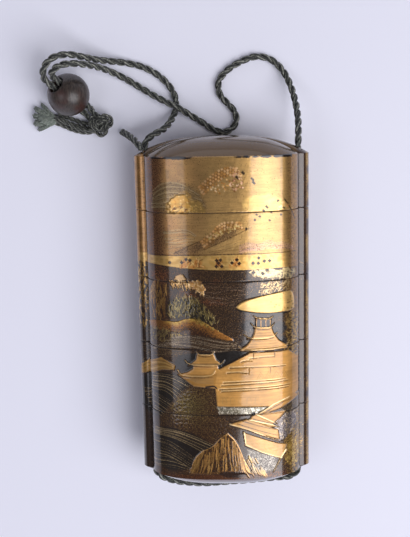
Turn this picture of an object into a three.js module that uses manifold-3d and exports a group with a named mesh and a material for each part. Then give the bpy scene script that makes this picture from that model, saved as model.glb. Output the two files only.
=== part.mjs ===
// A four-case inro: a domed lid and four nested cases of lacquered wood, strung on a silk
// cord that runs up a runner on each side and ends in a bead and a knot. It lies on its back.
// Millimetres, +Z up. The long axis is Y with the lid at +Y; the painted face looks up +Z.

import * as THREE from 'three';
import { mergeVertices } from 'three/addons/utils/BufferGeometryUtils.js';
import Module from 'manifold-3d';

const wasm = await Module();
wasm.setup();

// ---- Driving dimensions ----

const RIB_REACH = 23.5;        // half the width over the cord runners
const RIB_RADIUS = 2.9;        // a runner is a half-round rib
const BODY_HALF_WIDTH = 20.9;  // the oval body between the runners
const BODY_HALF_DEPTH = 12.1;
const SQUARENESS = 2.7;        // 2 is an ellipse, more is squarer
const FLAT_CUT = 0.15;         // shaved off the back, so that the case lies still

const LID_SIDE = 14.5;         // straight side of the lid
const CASE_SIDE = 18.3;        // straight side of each case
const CASE_COUNT = 4;
const LID_RISE = 5;            // dome of the lid
const FOOT_RISE = 4;           // dome under the last case
const DOME_POWER = 3;          // how full the domes are
const SEAM = 0.3;              // open line between two sections

const OUTER_WALL = 1.2;        // wall round a socket, front and back
const SIDE_WALL = 2.5;         // the same at the sides, where the cord bore runs
const LIP_WALL = 0.9;
const LIP_HEIGHT = 4.5;
const FIT = 0.3;               // play between a lip and its socket
const FLOOR = 1.5;

const CORD_RADIUS = 0.95;
const CORD_SIDES = 8;
const BORE_RADIUS = 1.4;
const MOUTH_RADIUS = 2.3;
const MOUTH_DEPTH = 2.4;
const LOOP_REACH = 7.5;        // how far the cord stands out under the foot

const BEAD_RADIUS = 5.75;
const BEAD_HOLE_RADIUS = 2.3;
const BEAD_CENTRE = [-41.4, 61.65, BEAD_RADIUS];
const BEAD_AXIS = [-0.543, 0.543, 0.64];

const KNOT_CENTRE = [-33.2, 53.5, 3];

// ---- Places worked out from them ----

const MIDDLE_Z = BODY_HALF_DEPTH - FLAT_CUT;
const RIB_X = RIB_REACH - RIB_RADIUS;
const STRAIGHT = LID_SIDE + CASE_COUNT * CASE_SIDE;
const TOP_Y = (STRAIGHT + LOOP_REACH - LID_RISE) / 2;
const FOOT_Y = TOP_Y - STRAIGHT;
const LID_BOTTOM_Y = TOP_Y - LID_SIDE;
const SOCKET_HALF = [BODY_HALF_WIDTH - SIDE_WALL, BODY_HALF_DEPTH - OUTER_WALL];
const LIP_HALF = SOCKET_HALF.map((half) => half - FIT);
const CAVITY_HALF = LIP_HALF.map((half) => half - LIP_WALL);
const SOCKET_DEPTH = LIP_HEIGHT + FIT;
const MOUTH_RISE = 1 - (RIB_X / RIB_REACH) ** DOME_POWER;  // dome height over a bore, as a share

// ---- Solids: closed meshes, joined and cut ----

function closedMesh(geometry) {
  const bare = geometry.clone();
  bare.deleteAttribute('normal');
  bare.deleteAttribute('uv');
  const merged = mergeVertices(bare, 1e-4);
  const corners = merged.index.array;
  const faces = [];
  for (let i = 0; i < corners.length; i += 3) {
    const [a, b, c] = [corners[i], corners[i + 1], corners[i + 2]];
    if (a !== b && b !== c && c !== a) faces.push(a, b, c);
  }
  merged.setIndex(faces);
  return merged;
}

function solid(geometry) {
  const mesh = closedMesh(geometry);
  return new wasm.Manifold(new wasm.Mesh({
    numProp: 3,
    vertProperties: new Float32Array(mesh.attributes.position.array),
    triVerts: new Uint32Array(mesh.index.array),
  }));
}

function geometryOf(manifold) {
  const mesh = manifold.getMesh();
  const geometry = new THREE.BufferGeometry();
  geometry.setAttribute('position', new THREE.BufferAttribute(mesh.vertProperties, 3));
  geometry.setIndex(new THREE.BufferAttribute(mesh.triVerts, 1));
  geometry.computeVertexNormals();
  return geometry;
}

// ---- Cross-sections, as points across X and Z about the middle of the case ----

function ovalPoint([halfWidth, halfDepth], angle) {
  const power = 2 / SQUARENESS;
  const across = Math.cos(angle);
  const up = Math.sin(angle);
  return new THREE.Vector2(
    halfWidth * Math.sign(across) * Math.abs(across) ** power,
    halfDepth * Math.sign(up) * Math.abs(up) ** power,
  );
}

function ovalOutline(half, segments = 32) {
  const points = [];
  for (let i = 0; i < segments; i++) points.push(ovalPoint(half, (2 * Math.PI * i) / segments));
  return points;
}

// The angle on the rib's half-round at which it runs into the oval body.
function ribJoint() {
  let outside = 0;
  let inside = Math.PI / 2 + 0.3;
  for (let i = 0; i < 40; i++) {
    const angle = (outside + inside) / 2;
    const x = (RIB_X + RIB_RADIUS * Math.cos(angle)) / BODY_HALF_WIDTH;
    const z = (RIB_RADIUS * Math.sin(angle)) / BODY_HALF_DEPTH;
    if (x ** SQUARENESS + z ** SQUARENESS > 1) outside = angle;
    else inside = angle;
  }
  return outside;
}

// The oval body with a half-round rib on each side and its back shaved flat.
function bodyOutline(faceSegments = 18, ribSegments = 8) {
  const joint = ribJoint();
  const jointX = RIB_X + RIB_RADIUS * Math.cos(joint);
  const start = Math.acos((jointX / BODY_HALF_WIDTH) ** (SQUARENESS / 2));
  const points = [];
  for (const side of [0, Math.PI]) {
    for (let i = 0; i <= ribSegments; i++) {
      const angle = side - joint + (2 * joint * i) / ribSegments;
      const centre = side ? -RIB_X : RIB_X;
      points.push(new THREE.Vector2(
        centre + RIB_RADIUS * Math.cos(angle),
        RIB_RADIUS * Math.sin(angle),
      ));
    }
    for (let i = 1; i < faceSegments; i++) {
      const angle = side + start + ((Math.PI - 2 * start) * i) / faceSegments;
      const point = ovalPoint([BODY_HALF_WIDTH, BODY_HALF_DEPTH], angle);
      point.y = Math.max(point.y, -MIDDLE_Z);
      points.push(point);
    }
  }
  return points;
}

// ---- Prisms and domes along the case ----

function prism(outline, lowY, highY) {
  const depth = highY - lowY;
  const geometry = new THREE.ExtrudeGeometry(new THREE.Shape(outline), {
    depth, steps: 1, bevelEnabled: false,
  });
  geometry.rotateX(Math.PI / 2);
  geometry.translate(0, highY, MIDDLE_Z);
  return solid(geometry);
}

// A prism of the given side that ends in a dome: rings of the outline drawn in towards the tip.
function domed(outline, side, rise, rings = 7, tip = 0.05) {
  const steps = rings + 1;
  const geometry = new THREE.ExtrudeGeometry(new THREE.Shape(outline), {
    depth: steps, steps, bevelEnabled: false,
  });
  const position = geometry.attributes.position;
  for (let i = 0; i < position.count; i++) {
    const level = Math.round(position.getZ(i));
    const ring = Math.max(level - 1, 0) / rings;
    const radius = Math.cos((ring * Math.PI) / 2) * (1 - tip) + tip;
    const height = level === 0 ? -side : rise * (1 - radius ** DOME_POWER);
    position.setXYZ(i, position.getX(i) * radius, position.getY(i) * radius, height);
  }
  // The extrusion runs along Z: turn it to run up +Y with the section's Y facing +Z.
  geometry.rotateX(-Math.PI / 2);
  geometry.rotateY(Math.PI);
  return geometry;
}

function domedUp(outline, edgeY, side, rise) {
  const geometry = domed(outline, side, rise);
  geometry.translate(0, edgeY, MIDDLE_Z);
  return solid(geometry);
}

function domedDown(outline, edgeY, side, rise) {
  const geometry = domed(outline, side, rise);
  geometry.rotateZ(Math.PI);
  geometry.translate(0, edgeY, MIDDLE_Z);
  return solid(geometry);
}

function cordBores() {
  const length = 2 * (STRAIGHT + LOOP_REACH);
  const bores = [-RIB_X, RIB_X].map((x) => {
    const bore = new THREE.CylinderGeometry(BORE_RADIUS, BORE_RADIUS, length, 12);
    bore.translate(x, 0, MIDDLE_Z);
    return solid(bore);
  });
  return bores[0].add(bores[1]);
}

// A cone that opens each bore where the cord leaves it; up is 1 at the lid and -1 at the foot.
function cordMouths(edgeY, up) {
  const cones = [-RIB_X, RIB_X].map((x) => {
    const cone = new THREE.CylinderGeometry(
      up > 0 ? MOUTH_RADIUS : BORE_RADIUS, up > 0 ? BORE_RADIUS : MOUTH_RADIUS, MOUTH_DEPTH, 12,
    );
    cone.translate(x, edgeY - up * (MOUTH_DEPTH / 2 - 0.1), MIDDLE_Z);
    return solid(cone);
  });
  return cones[0].add(cones[1]);
}

// ---- The sections of the case ----

function lidSection() {
  const shell = domedUp(bodyOutline(), TOP_Y, LID_SIDE - SEAM, LID_RISE);
  const inside = domedUp(
    ovalOutline(SOCKET_HALF), TOP_Y - FLOOR / 2, LID_SIDE, LID_RISE - FLOOR / 2,
  );
  const mouthY = TOP_Y + LID_RISE * MOUTH_RISE;
  return shell.subtract(inside).subtract(cordBores()).subtract(cordMouths(mouthY, 1));
}

// Number 1 is next to the lid; each case has a lip above, and a socket below for the next lip.
function caseSection(number) {
  const topY = LID_BOTTOM_Y - (number - 1) * CASE_SIDE;
  const lowY = topY - CASE_SIDE + SEAM;
  const lip = prism(ovalOutline(LIP_HALF), topY - 1, topY + LIP_HEIGHT);
  const shell = prism(bodyOutline(), lowY, topY).add(lip);
  const socket = prism(ovalOutline(SOCKET_HALF), lowY - 1, lowY + SOCKET_DEPTH);
  const cavity = prism(
    ovalOutline(CAVITY_HALF), lowY + SOCKET_DEPTH + FLOOR, topY + LIP_HEIGHT + 1,
  );
  return shell.subtract(socket).subtract(cavity).subtract(cordBores());
}

function footSection() {
  const topY = LID_BOTTOM_Y - (CASE_COUNT - 1) * CASE_SIDE;
  const lip = prism(ovalOutline(LIP_HALF), topY - 1, topY + LIP_HEIGHT);
  const shell = domedDown(bodyOutline(), FOOT_Y, CASE_SIDE, FOOT_RISE).add(lip);
  const cavity = domedDown(
    ovalOutline(CAVITY_HALF), FOOT_Y + FLOOR / 2, CASE_SIDE + LIP_HEIGHT, FOOT_RISE - FLOOR,
  );
  const mouthY = FOOT_Y - FOOT_RISE * MOUTH_RISE;
  return shell.subtract(cavity).subtract(cordBores()).subtract(cordMouths(mouthY, -1));
}

// ---- The cord ----

function cordTube(points, steps) {
  const section = new THREE.Shape();
  for (let i = 0; i < CORD_SIDES; i++) {
    const angle = (2 * Math.PI * (i + 0.5)) / CORD_SIDES;
    const corner = [CORD_RADIUS * Math.cos(angle), CORD_RADIUS * Math.sin(angle)];
    if (i === 0) section.moveTo(...corner);
    else section.lineTo(...corner);
  }
  section.closePath();
  const path = new THREE.CatmullRomCurve3(points.map((point) => new THREE.Vector3(...point)));
  return new THREE.ExtrudeGeometry(section, { steps, bevelEnabled: false, extrudePath: path });
}

// Up both runners and round under the foot, with a little slack on the left.
const UNDER_FOOT = [
  [20.6, -39, MIDDLE_Z], [20.6, -43, MIDDLE_Z], [20.1, -45.4, 11.9], [18, -47, 11.8],
  [13.5, -47.4, 11.8], [7, -48.1, 11.6], [0, -48.7, 11.4], [-6, -49.15, 11.2],
  [-11, -48.9, 11.2], [-15.6, -48, 11.5], [-18.9, -46.4, 11.8], [-20.4, -44.1, 11.9],
  [-20.6, -41.4, MIDDLE_Z], [-20.6, -38, MIDDLE_Z],
];

function heldCord() {
  const topEnd = TOP_Y + 0.6;
  const straights = [[RIB_X, -40], [-RIB_X, -39.5]].map(([x, lowY]) => {
    const run = new THREE.CylinderGeometry(CORD_RADIUS, CORD_RADIUS, topEnd - lowY, CORD_SIDES);
    run.translate(x, (topEnd + lowY) / 2, MIDDLE_Z);
    return solid(run);
  });
  return solid(cordTube(UNDER_FOOT, 18)).add(straights[0]).add(straights[1]);
}

// From the right mouth down to the table, over the left strand, up and through the bead.
const RIGHT_STRAND = [
  [20.6, 46.2, MIDDLE_Z], [20.8, 50, 11.2], [20.9, 54, 9.1], [20.4, 58.6, 6.1],
  [19.2, 63.2, 3.3], [17.1, 67.3, 1.5], [13.9, 70.1, 1], [10, 70.9, 1], [6, 69.7, 1],
  [2.2, 67.5, 1], [-0.3, 64.5, 1], [-0.1, 61, 1], [2, 58.4, 1], [3.8, 56.3, 1],
  [4.4, 54.1, 1], [3.5, 51.9, 1], [1.2, 50.6, 1], [-1.6, 51.1, 1], [-4.8, 53.1, 1.1],
  [-8.4, 55.4, 2.1], [-12, 57.7, 3.2], [-16, 59.7, 3], [-20.6, 62.3, 1.6], [-25, 65, 1.3],
  [-29, 67.2, 2.8], [-32.6, 68.7, 6.2], [-35.6, 69.4, 9.8], [-38.9, 69.7, 12.4],
  [-42, 69.3, 13], [-44, 68.2, 12.3], [-44.8, 66.9, 11], [-43, 64.8, 8.6],
  [-40.7, 62.4, 5.8], [-38.3, 60, 2.9], [-37.2, 58.9, 1.8], [-35.9, 57.4, 1.2],
];

// From the left mouth down beside the lid, under the right strand and round to the bead.
const LEFT_STRAND = [
  [-20.6, 46.2, MIDDLE_Z], [-20.5, 47.9, 11.6], [-19.6, 49.5, 10.8], [-17.9, 50.7, 9.7],
  [-15.7, 51.8, 7.5], [-13.8, 53.9, 4.2], [-12.6, 56.7, 1.3], [-12.4, 59.9, 1],
  [-13.8, 63.1, 1], [-16.6, 66.1, 1], [-20.6, 68.5, 1], [-25, 69.8, 1.2],
  [-29.4, 70.4, 2.6], [-33.2, 70.8, 5.6], [-36.6, 71.5, 9.2], [-40.2, 72.1, 12],
  [-43.8, 71.3, 13.3], [-46.3, 69, 12.9], [-46.9, 66.3, 11.4], [-44.5, 63.3, 8.6],
  [-42.1, 60.9, 5.8], [-39.8, 58.5, 2.9], [-38.7, 57.4, 1.8], [-37.4, 56.1, 1.2],
];

// The cut end that leans on the left strand at its mouth and droops to the table.
const STUB = [
  [-21.2, 46.7, 13.9], [-22, 48, 13], [-23.4, 49.3, 10.9], [-25, 50.2, 7.8],
  [-26.4, 50.8, 4.4], [-27.6, 51.2, 1.5],
];

// ---- What is on the cord ----

function bead() {
  const points = [];
  const hole = Math.asin(BEAD_HOLE_RADIUS / BEAD_RADIUS);
  const arcSegments = 14;
  for (let i = 0; i <= arcSegments; i++) {
    const angle = -Math.PI / 2 + hole + ((Math.PI - 2 * hole) * i) / arcSegments;
    points.push(new THREE.Vector2(BEAD_RADIUS * Math.cos(angle), BEAD_RADIUS * Math.sin(angle)));
  }
  points.push(points[0].clone());
  const geometry = new THREE.LatheGeometry(points, 24);
  const axis = new THREE.Vector3(...BEAD_AXIS).normalize();
  const turn = new THREE.Quaternion().setFromUnitVectors(new THREE.Vector3(0, 1, 0), axis);
  geometry.applyQuaternion(turn);
  geometry.translate(...BEAD_CENTRE);
  return solid(geometry);
}

// A tight ball of doubled cord: a core with three strands wound over it.
function knot() {
  const core = new THREE.SphereGeometry(2.3, 12, 8);
  core.scale(1.1, 1.1, 0.95);
  let ball = solid(core);
  for (const [tilt, spin, radius] of [[1.15, 0.5, 2.2], [1.2, 1.7, 2.1], [0.25, 0, 2.4]]) {
    const strand = new THREE.TorusGeometry(radius, 1.05, 7, 18);
    strand.rotateX(tilt);
    strand.rotateZ(spin);
    strand.scale(1.05, 1.05, 0.88);
    ball = ball.add(solid(strand));
  }
  const geometry = geometryOf(ball);
  geometry.translate(...KNOT_CENTRE);
  return solid(geometry);
}

// The strand ends past the knot: bundled, then loosened into a tuft that lies flat.
function cordEnds() {
  const flatness = 0.8;
  const profile = [
    [0, 0], [1.8, 0.2], [2.3, 2], [2.1, 4.2], [1.6, 6.4], [1.5, 8], [1.8, 9.6],
    [2.4, 11.2], [2.8, 12.8], [2.9, 14.2], [2.5, 15], [0, 15.1],
  ];
  const geometry = new THREE.LatheGeometry(profile.map((p) => new THREE.Vector2(...p)), 12);
  const position = geometry.attributes.position;
  for (let i = 0; i < position.count; i++) {
    const radius = Math.hypot(position.getX(i), position.getZ(i));
    position.setZ(i, flatness * (position.getZ(i) + radius) + 0.02);
  }
  geometry.rotateZ(Math.PI / 2 - 0.18);
  geometry.translate(-37.4, 52.9, 0);
  return solid(geometry);
}

// ---- The whole, one named mesh for each piece ----

function lacquer(color, roughness = 0.25) {
  return new THREE.MeshStandardMaterial({ color, roughness, metalness: 0.3 });
}

function silk() {
  return new THREE.MeshStandardMaterial({ color: 0x3b423c, roughness: 0.85, metalness: 0 });
}

const inro = new THREE.Group();

function place(name, manifold, material) {
  const mesh = new THREE.Mesh(geometryOf(manifold), material);
  mesh.name = name;
  inro.add(mesh);
}

place('lid', lidSection(), lacquer(0x8a6236));
for (let number = 1; number < CASE_COUNT; number++) {
  place(`case_${number}`, caseSection(number), lacquer([0xa8783c, 0x7c5a30, 0x6b4c26][number - 1]));
}
place(`case_${CASE_COUNT}`, footSection(), lacquer(0x5c4022));
place('cord_held', heldCord(), silk());
place('cord_right', solid(cordTube(RIGHT_STRAND, 32)), silk());
place('cord_left', solid(cordTube(LEFT_STRAND, 24)), silk());
place('cord_stub', solid(cordTube(STUB, 5)), silk());
place('bead', bead(), new THREE.MeshStandardMaterial({ color: 0x2e1f1a, roughness: 0.35 }));
place('knot', knot(), silk());
place('cord_ends', cordEnds(), silk());

export default inro;
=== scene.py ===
import math

import bmesh
import bpy
import numpy as np
from mathutils import Matrix, Vector


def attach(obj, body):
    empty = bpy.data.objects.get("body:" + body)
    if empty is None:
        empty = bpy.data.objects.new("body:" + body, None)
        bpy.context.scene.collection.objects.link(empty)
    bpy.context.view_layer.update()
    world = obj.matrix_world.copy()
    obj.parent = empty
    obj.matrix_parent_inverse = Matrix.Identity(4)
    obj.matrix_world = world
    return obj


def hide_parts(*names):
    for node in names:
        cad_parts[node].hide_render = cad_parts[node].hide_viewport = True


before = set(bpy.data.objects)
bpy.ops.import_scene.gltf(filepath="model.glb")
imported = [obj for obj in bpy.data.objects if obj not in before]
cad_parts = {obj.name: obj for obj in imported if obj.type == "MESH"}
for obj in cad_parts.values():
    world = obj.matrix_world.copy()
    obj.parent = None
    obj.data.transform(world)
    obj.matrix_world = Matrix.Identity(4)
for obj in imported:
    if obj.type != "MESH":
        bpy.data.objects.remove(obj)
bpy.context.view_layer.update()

MM = 0.001


# ---- The table, the light and the camera -----------------------------------------------
# A sheet of white paper on a table, a large soft light on the right and a smaller one on the
# left, and a camera that looks down on the case from a little above its lid.

def linear(colour):
    """An sRGB hex colour as linear red, green, blue and alpha."""
    shares = [int(colour[i:i + 2], 16) / 255 for i in (1, 3, 5)]
    return (*[s / 12.92 if s <= 0.04045 else ((s + 0.055) / 1.055) ** 2.4 for s in shares], 1)


def node(tree, kind, inputs=None, **settings):
    """Adds a node; an input is a value or the output that feeds it."""
    made = tree.nodes.new(kind)
    for name, value in settings.items():
        setattr(made, name, value)
    for name, value in (inputs or {}).items():
        if isinstance(value, bpy.types.NodeSocket):
            tree.links.new(value, made.inputs[name])
        else:
            made.inputs[name].default_value = value
    return made


def new_material(name):
    """A material with one Principled shader, and that shader."""
    material = bpy.data.materials.new(name)
    material.use_nodes = True
    return material, material.node_tree, material.node_tree.nodes["Principled BSDF"]


def finished(name, bm, material):
    """Turns a bmesh into an object at the origin, with its material."""
    mesh = bpy.data.meshes.new(name)
    bm.to_mesh(mesh)
    bm.free()
    mesh.materials.append(material)
    mesh.shade_smooth()
    piece = bpy.data.objects.new(name, mesh)
    bpy.context.collection.objects.link(piece)
    return piece


# Matt white paper that mirrors nothing.
paper, tree, shader = new_material("matt_white_paper")
shader.inputs["Base Color"].default_value = linear("#eef1fd")
shader.inputs["Roughness"].default_value = 0.9
shader.inputs["Specular IOR Level"].default_value = 0.1

bm = bmesh.new()
bmesh.ops.create_grid(bm, x_segments=2, y_segments=2, size=1.5)
finished("table", bm, paper)

# The lamps' directions from the case, their distance and size in metres, and their power.
for name, direction, distance, size, power, colour in [
    ("lamp_right", (0.53, -0.24, 0.81), 0.8, 0.66, 5.7, "#fefbff"),
    ("lamp_left", (-0.55, -0.1, 0.82), 0.8, 0.36, 0.66, "#f8f6ff"),
]:
    lamp = bpy.data.lights.new(name, "AREA")
    lamp.shape = "SQUARE"
    lamp.size = size
    lamp.energy = power
    lamp.color = linear(colour)[:3]
    holder = bpy.data.objects.new(name, lamp)
    holder.location = Vector(direction).normalized() * distance
    holder.rotation_euler = (-holder.location).to_track_quat("-Z", "Y").to_euler()
    bpy.context.collection.objects.link(holder)

room = bpy.data.worlds.new("pale_room")
room.use_nodes = True
# The room is brightest low down, where pale walls stand, dim overhead and dark at both sides.
tree = room.node_tree
backdrop = tree.nodes["Background"]
coords = node(tree, "ShaderNodeTexCoord")
way = node(tree, "ShaderNodeSeparateXYZ", {0: coords.outputs["Generated"]})
height = node(
    tree, "ShaderNodeMapRange", {0: way.outputs[2], 1: 0.0, 2: 0.8, 3: 0.0, 4: 1.0},
    interpolation_type="SMOOTHSTEP",
)
aside = node(tree, "ShaderNodeMath", {0: way.outputs[0]}, operation="ABSOLUTE")
edge = node(
    tree, "ShaderNodeMapRange", {0: aside.outputs[0], 1: 0.55, 2: 0.92, 3: 0.0, 4: 1.0},
    interpolation_type="SMOOTHSTEP",
)
ends = node(
    tree, "ShaderNodeMix", {0: edge.outputs[0], 6: linear("#f0f1ff"), 7: linear("#625d5c")},
    data_type="RGBA",
)
walls = node(
    tree, "ShaderNodeMix", {0: height.outputs[0], 6: ends.outputs[2], 7: linear("#625f64")},
    data_type="RGBA",
)
tree.links.new(walls.outputs[2], backdrop.inputs["Color"])
backdrop.inputs["Strength"].default_value = 1.08
bpy.context.scene.world = room
bpy.context.scene.view_settings.view_transform = "Standard"

camera = bpy.data.objects.new("camera", bpy.data.cameras.new("camera"))
camera.data.sensor_width = 36
camera.data.lens = 61.5
camera.location = Vector((1.04, 59.8, 260)) * MM
camera.rotation_mode = "ZXY"
camera.rotation_euler = [math.radians(angle) for angle in (-10.48, 1.39, -1.23)]
bpy.context.collection.objects.link(camera)
bpy.context.scene.camera = camera


# ---- The silk cord -----------------------------------------------------------------------
# One long cord of dark green silk, two plies twisted hard together, 1.9 mm thick. It runs down
# one runner, under the foot and up the other; both ends are brought together in the bead.

PLY_PITCH = 5.2      # one full turn of the two plies
PLY_OFFSET = 0.46    # a ply's middle from the cord's middle
PLY_THICK = 0.485    # half a ply outwards, and across
PLY_WIDE = 0.66
ROUTE_STEP = 0.2     # between the points of a path
STEPS_PER_MM = 4     # rings of faces along a ply
SAME_SPOT = 1e-6     # metres within which two corners are one


def route(points):
    """The smooth line through the points, in millimetres, cut into equal steps."""
    # Barry and Goldman's pyramid doesn't overshoot where the points are uneven.
    ends = [2 * Vector(points[0]) - Vector(points[1]), 2 * Vector(points[-1]) - Vector(points[-2])]
    knots = [ends[0], *map(Vector, points), ends[1]]
    line = []
    for a, b, c, d in zip(knots, knots[1:], knots[2:], knots[3:]):
        start = -math.sqrt((b - a).length)
        stop = math.sqrt((c - b).length)
        after = stop + math.sqrt((d - c).length)
        for i in range(12):
            t = stop * i / 12
            ab, bc = a.lerp(b, 1 - t / start), b.lerp(c, t / stop)
            cd = c.lerp(d, (t - stop) / (after - stop))
            abc, bcd = ab.lerp(bc, (t - start) / (stop - start)), bc.lerp(cd, t / after)
            line.append(abc.lerp(bcd, t / stop))
    line.append(knots[-2])
    line = np.array(line)
    gone = np.concatenate([[0], np.cumsum(np.linalg.norm(np.diff(line, axis=0), axis=1))])
    even = np.linspace(0, gone[-1], round(gone[-1] / ROUTE_STEP) + 1)
    return np.stack([np.interp(even, gone, line[:, k]) for k in range(3)], axis=1)


def length_of(line):
    return float(np.linalg.norm(np.diff(line, axis=0), axis=1).sum())


def carried(line):
    """Two directions across the line at each point, carried along it without turning."""
    ahead = np.gradient(line, axis=0)
    ahead /= np.linalg.norm(ahead, axis=1)[:, None]
    side = np.cross(ahead[0], (0.3, 0.2, 1))
    sides = []
    for direction in ahead:
        side = side - direction * (side @ direction)
        side = side / np.linalg.norm(side)
        sides.append(side)
    sides = np.array(sides)
    return sides, np.cross(ahead, sides)


def skin(bm, along, around, place):
    """A sheet of along by around faces laid where place(u, v) says; u and v run from 0 to 1."""
    made = bmesh.ops.create_grid(
        bm, x_segments=along, y_segments=around, size=0.5, calc_uvs=True,
    )["verts"]
    u = np.array([vert.co.x for vert in made]) + 0.5
    v = np.array([vert.co.y for vert in made]) + 0.5
    for vert, spot in zip(made, place(u, v) * MM):
        vert.co = spot
    bmesh.ops.remove_doubles(bm, verts=made, dist=SAME_SPOT)


def twisted(bm, line, scale=1.0, phase=0.0, sides=10):
    """Lays two twisted plies along a line, with round ends."""
    length = length_of(line)
    first, second = carried(line)
    count = round(length * STEPS_PER_MM)
    uv = bm.loops.layers.uv.verify()
    for ply in (0, math.pi):
        def place(u, v):
            at = u * (len(line) - 1)
            middle, across, up = [
                np.stack([np.interp(at, np.arange(len(line)), field[:, k]) for k in range(3)], 1)
                for field in (line, first, second)
            ]
            turn = phase + ply + 2 * math.pi * u * length / (PLY_PITCH * scale)
            out = across * np.cos(turn)[:, None] + up * np.sin(turn)[:, None]
            over = up * np.cos(turn)[:, None] - across * np.sin(turn)[:, None]
            round_end = np.sqrt(np.clip(np.minimum(u, 1 - u) * length / 0.25 + 0.05, 0, 1))
            angle = 2 * math.pi * v
            return middle + scale * (
                out * (PLY_OFFSET + PLY_THICK * np.cos(angle) * round_end)[:, None]
                + over * (PLY_WIDE * np.sin(angle) * round_end)[:, None]
            )
        before = len(bm.faces)
        skin(bm, count, sides, place)
        bm.faces.ensure_lookup_table()
        for face in bm.faces[before:]:
            for loop in face.loops:
                loop[uv].uv.x *= length
    rims = [edge for edge in bm.edges if edge.is_boundary]
    bmesh.ops.holes_fill(bm, edges=rims, sides=0)


# Dark green silk, reeled and twisted: soft, with a sheen, and with painted shade between its slanting
# threads and painted pale highlights on them.
silk, tree, shader = new_material("twisted_green_silk")
uv = node(tree, "ShaderNodeUVMap")
part = node(tree, "ShaderNodeSeparateXYZ", {0: uv.outputs[0]})
slant = node(tree, "ShaderNodeMath", {0: part.outputs[1], 1: 6.0}, operation="MULTIPLY")
lean = node(
    tree, "ShaderNodeMath", {0: part.outputs[0], 1: 1.1, 2: slant.outputs[0]},
    operation="MULTIPLY_ADD",
)
threads = node(tree, "ShaderNodeMath", {0: lean.outputs[0], 1: 1.0}, operation="PINGPONG")
coords = node(tree, "ShaderNodeTexCoord")
fuzz = node(
    tree, "ShaderNodeTexNoise",
    {"Vector": coords.outputs["Object"], "Scale": 1000 / 0.5, "Detail": 3.0},
)
shade = node(
    tree, "ShaderNodeMath", {0: threads.outputs[0], 1: fuzz.outputs[0]}, operation="MULTIPLY",
)
# The ramp paints the threads dark in their gaps and pale where highlights would fall: painted shade
# and painted highlight.
ramp = node(tree, "ShaderNodeValToRGB", {0: shade.outputs[0]})
ramp.color_ramp.elements[0].position = 0.08
ramp.color_ramp.elements[0].color = linear("#1a1d1c")
ramp.color_ramp.elements[1].position = 0.62
ramp.color_ramp.elements[1].color = linear("#a0a296")
middle = ramp.color_ramp.elements.new(0.3)
middle.color = linear("#40443e")
tree.links.new(ramp.outputs[0], shader.inputs["Base Color"])
bump = node(
    tree, "ShaderNodeBump", {"Height": threads.outputs[0], "Distance": 0.08 * MM, "Strength": 0.8},
)
tree.links.new(bump.outputs[0], shader.inputs["Normal"])
shader.inputs["Roughness"].default_value = 0.55
shader.inputs["Sheen Weight"].default_value = 0.35
shader.inputs["Sheen Roughness"].default_value = 0.4

BORE_Z = 11.95       # the runners' height above the table
BORE_X = 20.6

RIGHT_STRAND = [
    (20.6, 46.2, 11.95), (20.8, 50, 11.2), (20.9, 54, 9.1), (20.4, 58.6, 6.1),
    (19.2, 63.2, 3.3), (17.1, 67.3, 1.5), (13.9, 70.1, 1), (10, 70.9, 1), (6, 69.7, 1),
    (2.2, 67.5, 1), (-0.3, 64.5, 1), (-0.1, 61, 1), (2, 58.4, 1), (3.8, 56.3, 1),
    (4.4, 54.1, 1), (3.5, 51.9, 1), (1.2, 50.6, 1), (-1.6, 51.1, 1), (-4.8, 53.1, 1.1),
    (-8.4, 55.4, 2.1), (-12, 57.7, 3.2), (-16, 59.7, 3), (-20.6, 62.3, 1.6), (-25, 65, 1.3),
    (-29, 67.2, 2.8), (-32.6, 68.7, 6.2), (-35.6, 69.4, 9.8), (-38.9, 69.7, 12.4),
    (-42, 69.3, 13), (-44, 68.2, 12.3), (-44.8, 66.9, 11), (-43, 64.8, 8.6),
    (-40.7, 62.4, 5.8), (-38.3, 60, 2.9), (-37.2, 58.9, 1.8), (-35.9, 57.4, 1.2),
]
LEFT_STRAND = [
    (-20.6, 46.2, 11.95), (-20.5, 47.9, 11.6), (-19.6, 49.5, 10.8), (-17.9, 50.7, 9.7),
    (-15.7, 51.8, 7.5), (-13.8, 53.9, 4.2), (-12.6, 56.7, 1.3), (-12.4, 59.9, 1),
    (-13.8, 63.1, 1), (-16.6, 66.1, 1), (-20.6, 68.5, 1), (-25, 69.8, 1.2),
    (-29.4, 70.4, 2.6), (-33.2, 70.8, 5.6), (-36.6, 71.5, 9.2), (-40.2, 72.1, 12),
    (-43.8, 71.3, 13.3), (-46.3, 69, 12.9), (-46.9, 66.3, 11.4), (-44.5, 63.3, 8.6),
    (-42.1, 60.9, 5.8), (-39.8, 58.5, 2.9), (-38.7, 57.4, 1.8), (-37.4, 56.1, 1.2),
]
STUB = [
    (-21.2, 46.7, 13.9), (-22, 48, 13), (-23.4, 49.3, 10.9), (-25, 50.2, 7.8),
    (-26.4, 50.8, 4.4), (-27.6, 51.2, 1.5),
]
HELD = [
    (20.6, 45.7, 11.95), (20.6, 20, 11.95), (20.6, -20, 11.95),
    (20.6, -39, 11.95), (20.6, -43, 11.95), (20.1, -45.4, 11.9), (18, -47, 11.8),
    (13.5, -47.4, 11.8), (7, -48.1, 11.6), (0, -48.7, 11.4), (-6, -49.15, 11.2),
    (-11, -48.9, 11.2), (-15.6, -48, 11.5), (-18.9, -46.4, 11.8), (-20.4, -44.1, 11.9),
    (-20.6, -41.4, 11.95), (-20.6, -38, 11.95), (-20.6, -20, 11.95), (-20.6, 20, 11.95),
    (-20.6, 45.7, 11.95),
]

cords = {}
for name, points, phase in [
    ("cord_right", RIGHT_STRAND, 0.0), ("cord_left", LEFT_STRAND, 0.9),
    ("cord_stub", STUB, 0.4), ("cord_held", HELD, 0.0),
]:
    bm = bmesh.new()
    line = route(points)
    twisted(bm, line, phase=phase)
    piece = finished(f"silk_{name}", bm, silk)
    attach(piece, "root")
    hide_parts(name)
    cords[name] = (piece, line)


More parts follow.
